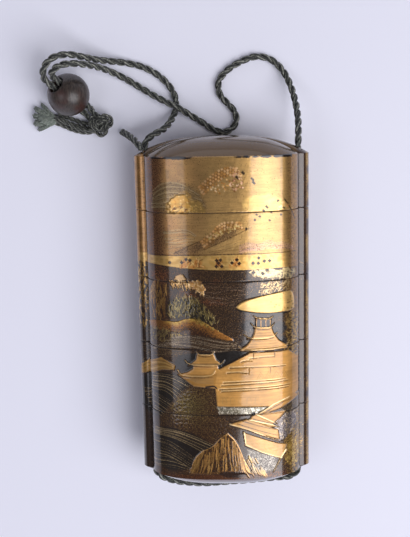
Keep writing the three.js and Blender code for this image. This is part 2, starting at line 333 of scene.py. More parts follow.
# ---- The five sections of the case ------------------------------------------------------
# A lid and four cases, built up of thin cypress wood and lacquered, each hollow, and each case
# with a lip that fits the socket above. Half-round runners at the sides hold the cord's bores.

RIB_RADIUS = 2.9
RIB_X = BORE_X
HALF = (20.9, 12.1)          # half the oval body's width and depth
SQUARENESS = 2.7             # 2 is an ellipse, more is squarer
MIDDLE_Z = BORE_Z
TOP_Y, FOOT_Y = 45.1, -42.6
LID_SIDE, CASE_SIDE = 14.5, 18.3
LID_RISE, FOOT_RISE = 5, 4
DOME_POWER = 3
SEAM = 0.14                  # the fine line between two sections
SOCKET, LIP, CAVITY = (18.4, 10.9), (18.1, 10.6), (17.2, 9.7)
LIP_HEIGHT, SOCKET_DEPTH, FLOOR = 4.5, 4.8, 1.5
BORE_RADIUS, MOUTH_RADIUS, MOUTH_DEPTH = 1.4, 2.3, 2.4
FINE = 0.15                  # the mesh on the painted face, fine enough for the relief


def swell(x, z, half=HALF):
    """1 on the oval, less inside it and more outside."""
    return np.abs(x / half[0]) ** SQUARENESS + np.abs(z / half[1]) ** SQUARENESS


def evenly(points, spacing):
    """The same line with its points a spacing apart, without its last one."""
    gone = np.concatenate([[0], np.cumsum(np.linalg.norm(np.diff(points, axis=0), axis=1))])
    at = np.linspace(0, gone[-1], round(gone[-1] / spacing) + 1)[:-1]
    return np.stack([np.interp(at, gone, points[:, k]) for k in (0, 1)], axis=1)


def case_outline():
    """Across the case, about its middle: right runner, face, left runner, back."""
    turn = np.linspace(0, math.pi, 20001)
    rib = np.stack([RIB_X + RIB_RADIUS * np.cos(turn), RIB_RADIUS * np.sin(turn)], axis=1)
    reach = int(np.argmax(swell(*rib.T) < 1))
    half_rib = rib[:reach + 1]
    whole_rib = np.concatenate([half_rib[:0:-1] * (1, -1), half_rib])
    start = math.acos((rib[reach, 0] / HALF[0]) ** (SQUARENESS / 2))
    sweep = np.linspace(start, math.pi - start, 8001)
    face = np.stack([
        HALF[0] * np.sign(np.cos(sweep)) * np.abs(np.cos(sweep)) ** (2 / SQUARENESS),
        HALF[1] * np.sin(sweep) ** (2 / SQUARENESS),
    ], axis=1)
    around = np.concatenate([
        evenly(whole_rib, 0.25), evenly(face, FINE),
        evenly(-whole_rib, 0.25), evenly(-face, 0.5),
    ])
    around[:, 1] = np.maximum(around[:, 1], -MIDDLE_Z)
    return around


outline = case_outline()


def ring(y, size=1.0, half=None):
    """A ring at a height along the case: the outline drawn in, or pressed on to an oval."""
    if half is not None:
        size = (swell(*outline.T, half) ** (-1 / SQUARENESS))[:, None]
    x, z = (outline * size).T
    return np.stack([x, np.full_like(x, y), z + MIDDLE_Z], axis=1)


def dome(edge_y, rise, steps, **shape):
    """Rings from a dome's edge in to its tip."""
    rings = []
    for turn in np.linspace(0, math.pi / 2, steps):
        size = 0.98 * math.cos(turn) + 0.02
        y = edge_y + rise * (1 - size ** DOME_POWER)
        whole = ring(y, **shape)
        whole[:, 0] *= size
        whole[:, 2] = MIDDLE_Z + (whole[:, 2] - MIDDLE_Z) * size
        rings.append(whole)
    return rings


def side(low_y, high_y, low_round=True, high_round=True):
    """Rings up the outside of a section, its two rims just rounded."""
    rims = [(0.0, 0.9945), (0.04, 0.998), (0.1, 0.9994)]
    rows = [ring(low_y + up, size) for up, size in rims] if low_round else []
    count = round((high_y - low_y - 0.6) / FINE)
    rows += [ring(y) for y in np.linspace(low_y + 0.3, high_y - 0.3, count)]
    rows += [ring(high_y - up, size) for up, size in rims[::-1]] if high_round else []
    return rows


def section(name, before, outside, after=()):
    """One section: rings from the tip of its inside, over the painted outside, to its other tip."""
    rows = np.array([*before, *outside, *after])
    bm = bmesh.new()
    outer = bm.verts.layers.float.new("outer")
    last, count = len(rows) - 1, len(outline)

    def place(u, v):
        return rows[np.rint(u * last).astype(int), np.rint(v * count).astype(int) % count]

    made = bmesh.ops.create_grid(bm, x_segments=last, y_segments=count, size=0.5)["verts"]
    u = np.array([vert.co.x for vert in made]) + 0.5
    v = np.array([vert.co.y for vert in made]) + 0.5
    levels = np.rint(u * last)
    painted = (levels >= len(before)) & (levels < len(before) + len(outside))
    for vert, is_outer, spot in zip(made, painted, place(u, v) * MM):
        vert.co = spot
        vert[outer] = is_outer
    bmesh.ops.remove_doubles(bm, verts=made, dist=SAME_SPOT)
    rims = [edge for edge in bm.edges if edge.is_boundary]
    bmesh.ops.holes_fill(bm, edges=rims, sides=0)
    bmesh.ops.recalc_face_normals(bm, faces=bm.faces)
    return finished(name, bm, gold_lacquer)


# ---- The picture ------------------------------------------------------------------------
# A lakeside landscape in gold powder, sprinkled on wet lacquer and burnished: hills, mist and
# rocks lie flush, and banks, buildings and roofs stand up a little on built-up lacquer.

GOLD = "#b08d55"
BROWN_LACQUER, BLACK_LACQUER = "#38210f", "#2b1c0f"


def drift(x, y, size, seed=0):
    """Soft unevenness between -1 and 1, in patches of a size."""
    grid = np.random.default_rng(seed).uniform(-1, 1, (97, 97))
    column, row = np.floor(x / size).astype(int), np.floor(y / size).astype(int)
    right, up = [share * share * (3 - 2 * share) for share in (x / size - column, y / size - row)]
    corner = [[grid[(column + i) % 97, (row + j) % 97] for j in (0, 1)] for i in (0, 1)]
    low = corner[0][0] * (1 - right) + corner[1][0] * right
    high = corner[0][1] * (1 - right) + corner[1][1] * right
    return low * (1 - up) + high * up


def inside(x, y, corners):
    """How far each spot lies inside a closed outline; less than nothing outside it."""
    near = np.full(len(x), 1e9)
    within = np.zeros(len(x), bool)
    for (ax, ay), (bx, by) in zip(corners, [*corners[1:], corners[0]]):
        dx, dy = bx - ax, by - ay
        along = np.clip(((x - ax) * dx + (y - ay) * dy) / (dx * dx + dy * dy), 0, 1)
        near = np.minimum(near, np.hypot(x - ax - along * dx, y - ay - along * dy))
        within ^= ((ay > y) != (by > y)) & (x < ax + (y - ay) * dx / (dy or 1e-9))
    return np.where(within, near, -near)


def curved(corners, closed=True, rounds=3):
    """Cuts the corners off an outline until it is a smooth curve."""
    for _ in range(rounds):
        pairs = zip(corners, [*corners[1:], corners[0]] if closed else corners[1:])
        cut = [
            (a[0] + (b[0] - a[0]) * share, a[1] + (b[1] - a[1]) * share)
            for a, b in pairs for share in (0.25, 0.75)
        ]
        corners = cut if closed else [corners[0], *cut, corners[-1]]
    return corners


FIELDS = ("powder", "ground", "share", "height", "matte")


def lay(face, where, powder=None, share=None, ground=None, height=None, matte=None):
    """Sprinkles powder where it says (0 to 1): its colour, how thickly, how high and how matt."""
    where = np.clip(where, 0, 1)
    for field, value in zip(FIELDS, (powder, ground, share, height, matte)):
        if isinstance(value, str):
            face[field] += where[:, None] * (np.array(linear(value)[:3]) - face[field])
        elif value is not None:
            face[field] += where * (value - face[field])


def near(face, points, margin):
    """The spots of a face near some points, and their values."""
    xs, ys = zip(*points)
    chosen = np.flatnonzero(
        (face["x"] > min(xs) - margin) & (face["x"] < max(xs) + margin)
        & (face["y"] > min(ys) - margin) & (face["y"] < max(ys) + margin)
    )
    return chosen, {field: values[chosen] for field, values in face.items()}


def put_back(face, chosen, part):
    for field in FIELDS:
        face[field][chosen] = part[field]


def patch(face, corners, powder, share=1.0, height=None, edge=0.15, ragged=0.0, smooth=True,
          **more):
    """A filled shape; ragged lets its edge wander by that many millimetres."""
    if smooth:
        corners = curved(corners)
    chosen, part = near(face, corners, 1 + edge + ragged)
    if not len(chosen):
        return
    x, y = part["x"], part["y"]
    if ragged:
        x = x + ragged * drift(x, y, 0.9, 3)
        y = y + ragged * drift(x, y, 0.7, 4)
    depth = inside(x, y, corners)
    lay(part, depth / edge + 0.5, powder, share, **more)
    if height:
        part["height"] = np.maximum(part["height"], height * np.clip(depth / 0.3 + 0.5, 0, 1))
    put_back(face, chosen, part)


def stroke(face, points, width, powder, share=1.0, height=None, smooth=True, **more):
    """A drawn line of a width, half as wide at its end."""
    if smooth and len(points) > 2:
        points = curved(list(points), closed=False, rounds=2)
    chosen, part = near(face, points, width)
    if not len(chosen):
        return
    x, y = part["x"], part["y"]
    closest = np.full(len(chosen), 1e9)
    for i, ((ax, ay), (bx, by)) in enumerate(zip(points, points[1:])):
        dx, dy = bx - ax, by - ay
        along = np.clip(((x - ax) * dx + (y - ay) * dy) / (dx * dx + dy * dy + 1e-12), 0, 1)
        thin = 1 - 0.5 * (i + along) / (len(points) - 1)
        closest = np.minimum(closest, np.hypot(x - ax - along * dx, y - ay - along * dy) / thin)
    lay(part, (width / 2 - closest) / 0.15 + 0.5, powder, share, height=height, **more)
    put_back(face, chosen, part)


def flake(face, x, y, size, turn, powder, share=1.0, height=None, long=1.0, **more):
    """One small square or bar of cut foil."""
    chosen, part = near(face, [(x, y)], size * long)
    if not len(chosen):
        return
    dx, dy = part["x"] - x, part["y"] - y
    across = abs(dx * math.cos(turn) + dy * math.sin(turn)) / long
    up = abs(dy * math.cos(turn) - dx * math.sin(turn))
    where = (size / 2 - np.maximum(across, up)) / 0.12 + 0.5
    lay(part, where, powder, share, height=height, **more)
    put_back(face, chosen, part)


def netting(x, y, size, seed):
    """0 on the cracks between irregular cells of a size, rising inwards."""
    rng = np.random.default_rng(seed)
    shift = rng.uniform(0.1, 0.9, (97, 97, 2))
    column, row = np.floor(x / size).astype(int), np.floor(y / size).astype(int)
    gaps = []
    for i in (-1, 0, 1):
        for j in (-1, 0, 1):
            spot = shift[(column + i) % 97, (row + j) % 97]
            gaps.append(np.hypot(
                column + i + spot[:, 0] - x / size, row + j + spot[:, 1] - y / size,
            ))
    first, second = np.sort(gaps, axis=0)[:2]
    return second - first


def needles(face, rng, corners, count, reach, turn, spread, powders, width=0.24, **more):
    """Short strokes scattered inside an outline, leaning about a direction in degrees."""
    low, high = np.min(corners, axis=0), np.max(corners, axis=0)
    spots = rng.uniform(low, high, (count * 4, 2))
    spots = spots[inside(*spots.T, corners) > 0][:count]
    for number, (x, y) in enumerate(spots[np.argsort(-spots[:, 1])]):
        lean = math.radians(rng.normal(turn, spread))
        long = reach * rng.uniform(0.6, 1.2)
        middle = (x + 0.5 * long * math.cos(lean), y + 0.5 * long * math.sin(lean))
        lean += rng.normal(0, 0.25)
        tip = (middle[0] + 0.5 * long * math.cos(lean), middle[1] + 0.5 * long * math.sin(lean))
        stroke(face, [(x, y), middle, tip], width, powders[number % len(powders)], **more)


def combed(face, first, last, count, powders, width=0.24, wander=0.15, **more):
    """Lines side by side, from a first guide line to a last one with as many points."""
    rng = np.random.default_rng(count)
    for number in range(count):
        share = number / (count - 1)
        line = [
            (ax + (bx - ax) * share, ay + (by - ay) * share + rng.normal(0, wander))
            for (ax, ay), (bx, by) in zip(first, last)
        ]
        stroke(face, line, width * rng.uniform(0.7, 1.2), powders[number % len(powders)], **more)


def sprinkle(face, rng, corners, count, size, powders, **more):
    """Little squares of cut foil scattered inside an outline."""
    spots = rng.uniform(np.min(corners, axis=0), np.max(corners, axis=0), (count * 4, 2))
    spots = spots[inside(*spots.T, corners) > 0][:count]
    for number, (x, y) in enumerate(spots):
        powder = powders[number % len(powders)]
        flake(face, x, y, size * rng.uniform(0.6, 1.2), rng.uniform(0, 1.6), powder, **more)


def paint_ground(face):
    """Gold above, dark water below, and brown lacquer at the edges and the foot."""
    x, y = face["x"], face["y"]
    patchy = drift(x, y * 1.6, 3.5, 1) * 0.6 + drift(x, y * 2, 1.1, 2) * 0.4
    lay(face, np.ones(len(x)), GOLD, 0.84, BROWN_LACQUER)
    lay(face, np.clip((-3 - x) / 12, 0, 0.7) * (0.8 + 0.4 * patchy), "#a87a4c", 0.72)
    lay(face, np.clip((-14.5 - x) / 3, 0, 0.85), "#7d5232", 0.5)
    lay(face, np.clip((x - 16.6) / 2, 0, 0.8), "#a0763e", 0.6)
    shore = np.interp(x, (-19.2, -15, -10, -2.8, 5.3, 13.5, 19.4),
                      (16.9, 16.6, 16.1, 15.6, 15.5, 15.7, 15.5))
    below = np.clip((shore - y) / 0.15 + 0.5, 0, 1)
    lay(face, below, "#86663e", 0.27, BLACK_LACQUER)
    russet = np.exp(-((x + 17.4) / 2.6) ** 2) * below * np.clip((y - 1) / 2, 0, 1)
    lay(face, russet * (0.75 + 0.5 * patchy), "#8c5430", 0.36, "#35190c")
    lay(face, below * np.clip((x - 15.8) / 1.5, 0, 0.9), "#9c7640", 0.5, "#36220f")
    warm = np.clip((-y - 21) / 16, 0, 1) * (0.65 + 0.4 * patchy)
    lay(face, warm, "#7c5a38", 0.28, "#36200f")
    foot = np.clip((-40.4 - 0.003 * x * x + 0.5 * patchy - y) / 0.8, 0, 1)
    lay(face, foot, "#8a5a34", 0.34, "#3c200f")
    lay(face, np.clip((-43.2 - y) / 1, 0, 1), "#5c4232", 0.12, "#2a1a12")
    dome = np.clip((y - TOP_Y - 0.1) / 0.15, 0, 1)
    lay(face, dome, "#6d5040", 0.16, "#5c4420")
    edge = np.clip((0.28 + 0.25 * drift(x, y, 1.1, 5) - abs(y - TOP_Y + 0.15)) / 0.15, 0, 1)
    worn = (np.clip((x - 3) / 2, 0, 1) + np.clip((-7 - x) / 2, 0, 1)) * (abs(x) < 18.5)
    lay(face, edge * worn, "#120d0b", 0.0, "#120d0b")


def paint_runners(face):
    """Beside the face the runners are brown and gold by turns, and speckled."""
    x, y = face["x"], face["y"]
    rng = np.random.default_rng(22)
    left = np.clip((-20.5 - x) / 0.25, 0, 1)
    right = np.clip((x - 20.5) / 0.25, 0, 1)
    blotch = drift(x, y, 2.4, 6)
    lay(face, left * (y > 16.6), "#b08248", 0.78, "#3a2414")
    lay(face, left * (y <= 16.6), "#6e5232", 0.22, "#2a1b12")
    for low, high, powder, count in ((5, 16, "#b98f45", 60), (-2, 6, "#8d7040", 30)):
        strip = [(-23.4, low), (-20.7, low), (-20.7, high), (-23.4, high)]
        needles(face, rng, strip, count, 1.8, 88, 14, [powder, "#d6ac58", "#7a5a2c"], 0.26)
    strip = [(-23.4, -12), (-20.6, -12), (-20.6, -2), (-23.4, -2)]
    needles(face, rng, strip, 26, 1.6, 8, 18, ["#6f6248", "#8d7f66"], 0.22, share=0.6)
    # The right runner is painted dark brown with little powder and gold only at its outer edge: partly
    # its own lacquer, partly painted shade on the side turned from the lamp.
    lay(face, right, "#6a4c30", 0.2, "#38251a")
    lay(face, np.clip((x - 22.3) / 0.3, 0, 1) * np.clip(0.8 + blotch, 0, 1), "#b08c48", 0.72)
    lay(face, right * np.clip(-0.2 - blotch, 0, 1) * 1.5, "#5c4636", 0.3, "#2b1c16")
    sprinkle(face, rng, [(20.8, -42), (23.4, -42), (23.4, 16), (20.8, 16)], 120, 0.34,
             ["#4a3524", "#94784a"], share=0.5)
    # The polished edges beside the grooves carry no powder.
    for side in (-1, 1):
        bare = np.clip((side * x - 20) / 0.3, 0, 1) * np.clip((20.75 - side * x) / 0.2, 0, 1)
        lay(face, bare * 0.85, "#4a382c", 0.12, "#2a1c16")


def paint_far_hills(face):
    """Far hills above: contour lines, mounds, and drifts of cut gold foil."""
    rng = np.random.default_rng(11)
    # The left hill is combed with pale and dark lines; the mounds in front of it are plain.
    hill = [(-18.4, 31), (-17.6, 36), (-15.7, 38.4), (-12, 39.1), (-8.8, 38.1), (-6, 36.4),
            (-4.4, 33.6), (-3.8, 31)]
    patch(face, hill, "#8f744a", 0.66, edge=1.2, ragged=0.4)
    combed(face, [(-18, 36), (-15.7, 38.3), (-12, 39), (-8.8, 38), (-5.6, 35.6)],
           [(-18.6, 31.4), (-15.6, 32), (-12, 31.6), (-8.4, 31.6), (-4, 31)], 17,
           ["#b8a276", "#745c3a", "#9c8458"], 0.22, 0.32, share=0.8)
    mound = [(-14.4, 30.7), (-13.8, 33.4), (-12.3, 35.2), (-10.5, 35.9), (-8.9, 35.3),
             (-7.9, 33.6), (-7.6, 30.7)]
    patch(face, mound, "#d8a650", 0.92, 0.06, ragged=0.6, edge=1.2)
    patch(face, [(-8.2, 34.3), (-6.6, 34.2), (-5, 32.9), (-3.8, 30.7), (-7.7, 30.7)],
          "#a58446", 0.8, ragged=0.3, edge=0.4)
    sprinkle(face, rng, mound, 46, 0.36, ["#f6d489", "#c98a3c"], share=1)
    sprinkle(face, rng, [(-8, 34), (-5.4, 33), (-4, 30.8), (-7.8, 30.8)], 26, 0.3, ["#d8b060"])
    needles(face, rng, [(-14.5, 30.8), (-8, 30.8), (-8.6, 32.6), (-12, 32.4)], 26, 0.9, 20, 25,
            ["#6a4020", "#f0c878"], 0.26)
    # The dark-edged slopes of the hill below.
    patch(face, [(-14, 19.6), (-9.2, 22.1), (-5.9, 23.4), (-2.6, 24.7), (1, 26.8), (5, 27.6),
                 (3.2, 24.8), (-0.8, 23), (-4.7, 21.4), (-8, 19.6)], "#8c6c44", 0.62, edge=1.3)
    combed(face, [(-15.5, 26), (-12.5, 26.6), (-9, 26.3), (-6.8, 25)],
           [(-14.6, 20.4), (-12.4, 20.6), (-10.4, 21.4), (-8, 22.3)], 15,
           ["#b8a276", "#7b6140", "#a08658"], 0.22, 0.34, share=0.8)
    stroke(face, [(-12.8, 20), (-9.2, 21.9), (-5.9, 23.3), (-2.7, 24.6)], 0.26, "#6a4c28", 0.45)
    stroke(face, [(-4.9, 21.1), (-0.8, 22.8), (3.2, 24.7), (5.8, 25.9), (7.6, 26.7)], 0.24,
           "#7c5c34", 0.5)
    combed(face, [(-4.2, 20.9), (0, 22.4), (4.6, 24.2)], [(-3, 20), (2, 20.6), (7.6, 21.6)], 6,
           ["#a98a56", "#8a6a3c"], 0.22, 0.15, share=0.8)
    # The right hill and the overlapping far ones, in fine contour lines.
    patch(face, [(5, 34.4), (9.1, 35.2), (12.4, 35.2), (15.3, 34), (17, 32.4), (18.6, 30.6),
                 (6, 30.7)],
          "#d2ad66", 0.92, edge=1.2, ragged=0.5)
    stroke(face, [(16.4, 33.6), (17.4, 32.2), (18.5, 30.2), (19.2, 28.2)], 0.34, "#5c4426", 0.35)
    sprinkle(face, rng, [(14, 30.8), (16, 33.8), (17.6, 32), (17.6, 30.8)], 30, 0.34,
             ["#dc9c5c", "#f0cc90"])
    combed(face, [(4.4, 21.9), (7, 22.7), (9.6, 22.1), (12, 23.5), (14.2, 22), (15.8, 22.6),
                  (18.6, 21)],
           [(4.4, 19.9), (7, 20.7), (9.6, 20.5), (12, 21.2), (14.2, 20.7), (15.8, 20.8),
            (18.6, 20.1)], 6,
           ["#b98e74"], 0.24, 0.05, share=0.6)
    # Cut foil in neat rows on the ridge of each drift, then scattered below it.
    for arc, rows, count in (
        ([(-5.8, 37.4), (-3.6, 39.5), (-1, 41.5), (1.8, 42.5), (4.2, 42)], 4, 17),
        ([(-5.6, 23.2), (-2.6, 25.5), (-1, 27.4), (1, 28.3), (4.8, 28)], 3, 15),
    ):
        line = curved(arc, closed=False, rounds=2)
        under = [*line, *[(px + 1, py - 2) for px, py in line[::-1]]]
        patch(face, under, "#a0743e", 0.75, edge=0.7, ragged=0.4, smooth=False)
        for row in range(rows):
            for k in range(count):
                if rng.uniform() < 0.06:
                    continue
                at = (k + 0.5 * (row % 2)) / count * (len(line) - 1)
                fx = np.interp(at, range(len(line)), [p[0] for p in line]) + 0.34 * row
                fy = np.interp(at, range(len(line)), [p[1] for p in line]) - 0.62 * row
                powder = ["#dca86a", "#e8bd84", "#c8924e"][int(rng.integers(3))]
                flake(face, fx, fy + rng.uniform(-0.06, 0.06), rng.uniform(0.46, 0.56), 0.6, powder)
    sprinkle(face, rng, [(-5, 37.2), (-2.4, 36), (0.4, 35.2), (3, 38.6), (0, 40), (-3, 39)], 34,
             0.42,
             ["#e6ae62", "#b87c3a", "#f0d09c"])
    sprinkle(face, rng, [(1.6, 38), (3.6, 36), (5.6, 36.4), (5.6, 41.4), (3.4, 42)], 50, 0.4,
             ["#e2a880", "#f0c8a0", "#8a5a34"])
    sprinkle(face, rng, [(-5.4, 22.9), (0.4, 24.8), (5.6, 27.4), (3, 27.4), (-2, 25.4)], 60, 0.3,
             ["#e0c888", "#c8a860"])
    for fx, fy, long in (
        (5.6, 40.9, 1.7), (4, 39.8, 1.5), (8, 39.2, 1.8), (8.3, 38.3, 1.8), (14.6, 33.4, 1.1),
        (10.8, 31, 1.4), (11.7, 31.9, 1.6), (9.8, 29.5, 1), (8.5, 28.6, 1), (6.3, 26.4, 1),
        (12.8, 30.5, 0.8), (12.4, 28.4, 0.8), (15.4, 29.7, 0.8), (9, 30, 0.8), (16.2, 31.4, 0.8),
    ):
        flake(face, fx, fy, 0.56, 0.8 if long < 1.2 else -0.8, "#6b6040", 0.3, long=long)


def paint_shore(face):
    """The bright far shore: a band of thick gold, then a paler strip with tree tops."""
    x, y = face["x"], face["y"]
    rng = np.random.default_rng(12)
    low = np.interp(x, (-19.2, -15, -10, -2.8, 5.3, 13.5, 19.4),
                    (16.9, 16.6, 16.1, 15.6, 15.5, 15.7, 15.5))
    high = np.interp(x, (-19.1, -12, 0, 13.5, 19.4), (19.2, 19.5, 19.6, 19.7, 19.4))
    band = np.clip((y - low) / 0.15, 0, 1) * np.clip((high - y) / 0.15, 0, 1)
    band *= np.clip((x + 23) / 0.6, 0, 1) * np.clip((17.6 - x) / 2, 0, 1)
    lay(face, band, "#d0a962", 1.0)
    lay(face, band * np.clip(drift(x, y, 0.7, 9) * 1.5, 0, 0.5), "#b0833a", 0.8)
    stroke(face, [(-19, 19.4), (-6, 19.7), (6, 19.8), (19.4, 19.6)], 0.24, "#6a4a22", 0.25)
    stroke(face, [(-19, 16.7), (-12, 16.2), (-2.8, 15.5), (5.3, 15.4), (13.5, 15.6), (19.4, 15.3)],
           0.24, "#5a4020", 0.2)
    strip = [(5.6, 15.4), (10.2, 15.3), (15.2, 15.4), (19.4, 15.1), (18.6, 12.9), (15.2, 12.6),
             (11.8, 12.9), (8, 13.9)]
    patch(face, strip, "#cdb886", 0.72, ragged=0.5, edge=0.6)
    sprinkle(face, rng, [(10, 12.6), (13, 14), (19.2, 15), (19.2, 12.6)], 60, 0.36,
             ["#8c8470", "#b5a27c", "#6a5a44"], share=0.5)
    # Leafy clumps in red gold, and trees as dark diamonds.
    for cx, reach in ((-9.4, 1.9), (-6.4, 1.5), (-0.9, 1), (3.4, 1.6)):
        lump = [(cx - reach, 16.3), (cx - 0.2, 18.9), (cx + reach, 16.4)]
        patch(face, lump, "#d0924a", 0.95, smooth=False, ragged=0.5, edge=0.4)
        needles(face, rng, lump, 16, 1, 60, 40, ["#7a4a20", "#f2cf86", "#a8682c"], 0.26, share=0.9)
    for fx, fy in (
        (-14, 17.6), (-10.8, 17.7), (-9.6, 18.5), (-8.6, 18.3), (-1.6, 18.2), (-0.6, 18.3),
        (-1.1, 17.5), (-1.7, 16.6), (-0.3, 16.6), (2.4, 17.5), (3.7, 18.3), (4.3, 17.3),
        (7.9, 17.3), (9.3, 17.2), (10.9, 17.7), (12.3, 17.7), (8, 14.8), (10.4, 14.4), (9.4, 18.6),
    ):
        flake(face, fx, fy, 0.74, 0.785, "#644420", 0.15, ground="#33200f")


def paint_near_hills(face):
    """Below the shore: huts, reeds, mist and bushes, a crested hill and a bank of sand."""
    x, y = face["x"], face["y"]
    rng = np.random.default_rng(13)
    # Mist and still water, in faint streaks.
    for mist in (
        [(-3.4, 12.8), (-1.6, 13.3), (0.2, 12.7), (-1.6, 12.2)],
        [(-7, 7.3), (-4.6, 8), (-1, 7.5), (1, 6.6), (-1.7, 6.1), (-5, 6.5)],
        [(-12.2, 9.4), (-9.5, 10), (-7, 8.8), (-8.9, 8.4)],
        [(-20, 15.6), (-14, 15.4), (-15, 12.4), (-19, 11)],
    ):
        patch(face, mist, "#96603c", 0.42, edge=1.4, ragged=0.6, ground="#2c170c")
    combed(face, [(-9, 12.2), (-3, 11.8), (3, 12), (9, 11.8)],
           [(-3, 6.6), (0, 5.8), (2, 5.6), (3, 6.2)], 17,
           ["#8a6c54", "#6e5340", "#a08a70"], 0.24, 0.35, share=0.42)
    stroke(face, [(-20, 15), (-12, 14.9), (-6, 14.2)], 0.3, "#7d5236", 0.4)
    # Reeds on the left, tall and reddish.
    reeds = [(-20.2, 1.8), (-20.2, 9), (-17, 11.4), (-15, 9.6), (-15.8, 1.8)]
    patch(face, reeds, "#6c4422", 0.3, edge=1.2, ragged=0.6, ground="#27150b")
    needles(face, rng, reeds, 80, 2.6, 88, 9, ["#a87c40", "#84602f", "#c79c58"], 0.24, share=0.85)
    # Huts: one roof of pale ridges, one of thatch.
    patch(face, [(-13.4, 13.1), (-12.6, 14.1), (-11.1, 14.4), (-9.6, 13.7), (-10.1, 12.9),
                 (-12.1, 12.9)],
          "#cda873", 0.9, 0.06, ragged=0.3)
    patch(face, [(-9.6, 12.2), (-7, 12.9), (-5.6, 12.1), (-4.6, 10.6), (-5.9, 9.4), (-7.6, 10.8)],
          "#c08e50", 0.9, 0.08, edge=0.5, ragged=0.4)
    needles(face, rng, [(-14.4, 13), (-6, 13), (-4.8, 10.4), (-6, 9.4), (-8, 11.2), (-13.6, 11.6)],
            70, 1.3,
            -70, 22, ["#dcae66", "#b98846", "#f0cf96"], 0.26, share=0.95, height=0.06)
    # Bushes, dark below and full of upright khaki needles.
    bushes = [(-15.3, 2.4), (-14.8, 6), (-12.4, 8), (-9.4, 8.4), (-6.3, 7.2), (-4.6, 5),
              (-2.8, 3.2),
              (-1.6, 1.2), (-3.6, 0.6), (-6.4, 2.2), (-9.7, 2.6)]
    patch(face, bushes, "#5a5030", 0.24, edge=1.4, ragged=0.8, ground="#1c160b")
    needles(face, rng, bushes, 230, 1.1, 88, 28, ["#9a8650", "#75653a", "#b09e62", "#5a4c28"], 0.2,
            share=0.9, height=0.03)
    # The hill: a bright speckled crest over russet that fades to the dark.
    body = curved([(-20.4, 1.4), (-15.1, 1.7), (-12.4, 1.5), (-10.4, 2.5), (-7.7, 2.7), (-5.1, 1.6),
                   (-1.8, -0.7), (3.6, -3.7), (-0.6, -3.2), (-5.2, -2), (-10.5, -1.6), (-14.8, -1),
                   (-20.4, -1)])
    depth = inside(x, y, body)
    crest = np.interp(x, (-20.4, -15.1, -12.4, -10.4, -7.7, -5.1, -1.8, 3.6),
                      (1.4, 1.7, 1.5, 2.5, 2.7, 1.6, -0.7, -3.7))
    within = np.clip(depth / 0.2 + 0.5, 0, 1)
    fall = np.clip((crest - y) / 3.2, 0, 1)
    lay(face, within, "#a46e32", 0.24 + 0.62 * (1 - fall), "#301b0c")
    lit = within * np.clip(1.1 - (crest - y) / 1.1, 0, 1) * np.clip((-2.6 - x) / 3, 0,
        1) * np.clip((x + 16.5) / 3, 0, 1)
    lay(face, lit * (0.7 + 0.6 * drift(x, y, 0.35, 14)), "#e2bd58", 1.0)
    face["height"] += 0.1 * within * (1 - fall)
    needles(face, rng, [(-8, 3), (-3, 0.2), (-1, -1), (-3.6, -0.6), (-7.6, 1.4)], 30, 0.6, 80, 30,
            ["#b09a50", "#403012"], 0.22)
    # Grass at the water's edge, then the water's own lines.
    near_grass = [(-20.2, -0.8), (-14.8, -0.9), (-10.4, -1.4), (-10.6, -4), (-20.2, -4.6)]
    needles(face, rng, near_grass, 110, 0.9, 70, 40, ["#8d7c4c", "#a8935c", "#5c5030"], 0.22,
            share=0.8)
    combed(face, [(-13, -2.2), (-9, -1.8), (-5, -2.6), (-1, -3.8), (3.4, -4.3)],
           [(-20, -7), (-15, -5), (-9, -5.2), (-4, -6.6), (3, -7)], 15,
           ["#8e8068", "#57493a", "#a3927a"], 0.24, 0.22, share=0.6)
    combed(face, [(-20, -4.6), (-17, -4.4), (-14, -4.9), (-11, -4.7)],
           [(-20, -9), (-17, -8), (-14, -7.8), (-10, -7.8)], 10, ["#8e7a58", "#5c4c38"], 0.24,
           0.25, share=0.6)
    # The bank of sand, thick gold, dark under its edge.
    stroke(face, [(4, 4.7), (8.8, 3.5), (13.4, 3.2), (18, 3.4)], 0.5, "#120d0a", 0.0,
           ground="#120d0a")
    bank = [(2.9, 5.5), (4.9, 7.1), (8.1, 8), (11.8, 8.7), (16.4, 9.3), (18.6, 9), (19, 4.2),
            (17.9, 3.8),
            (13.4, 3.6), (8.8, 3.9), (4.8, 4.6)]
    patch(face, bank, "#cfa864", 1.0, 0.14)
    sprinkle(face, rng, [(12, 5), (12, 8.6), (16, 9), (16.4, 4.6)], 8, 0.3, ["#a87a34"])
    needles(face, rng, [(8.6, 8.4), (9.2, 10.6), (11, 11.6), (17.4, 11.6), (17.4, 9.2)], 110, 1.2,
            65, 40,
            ["#b79b66", "#8c7248", "#cdb384"], 0.22, share=0.7)


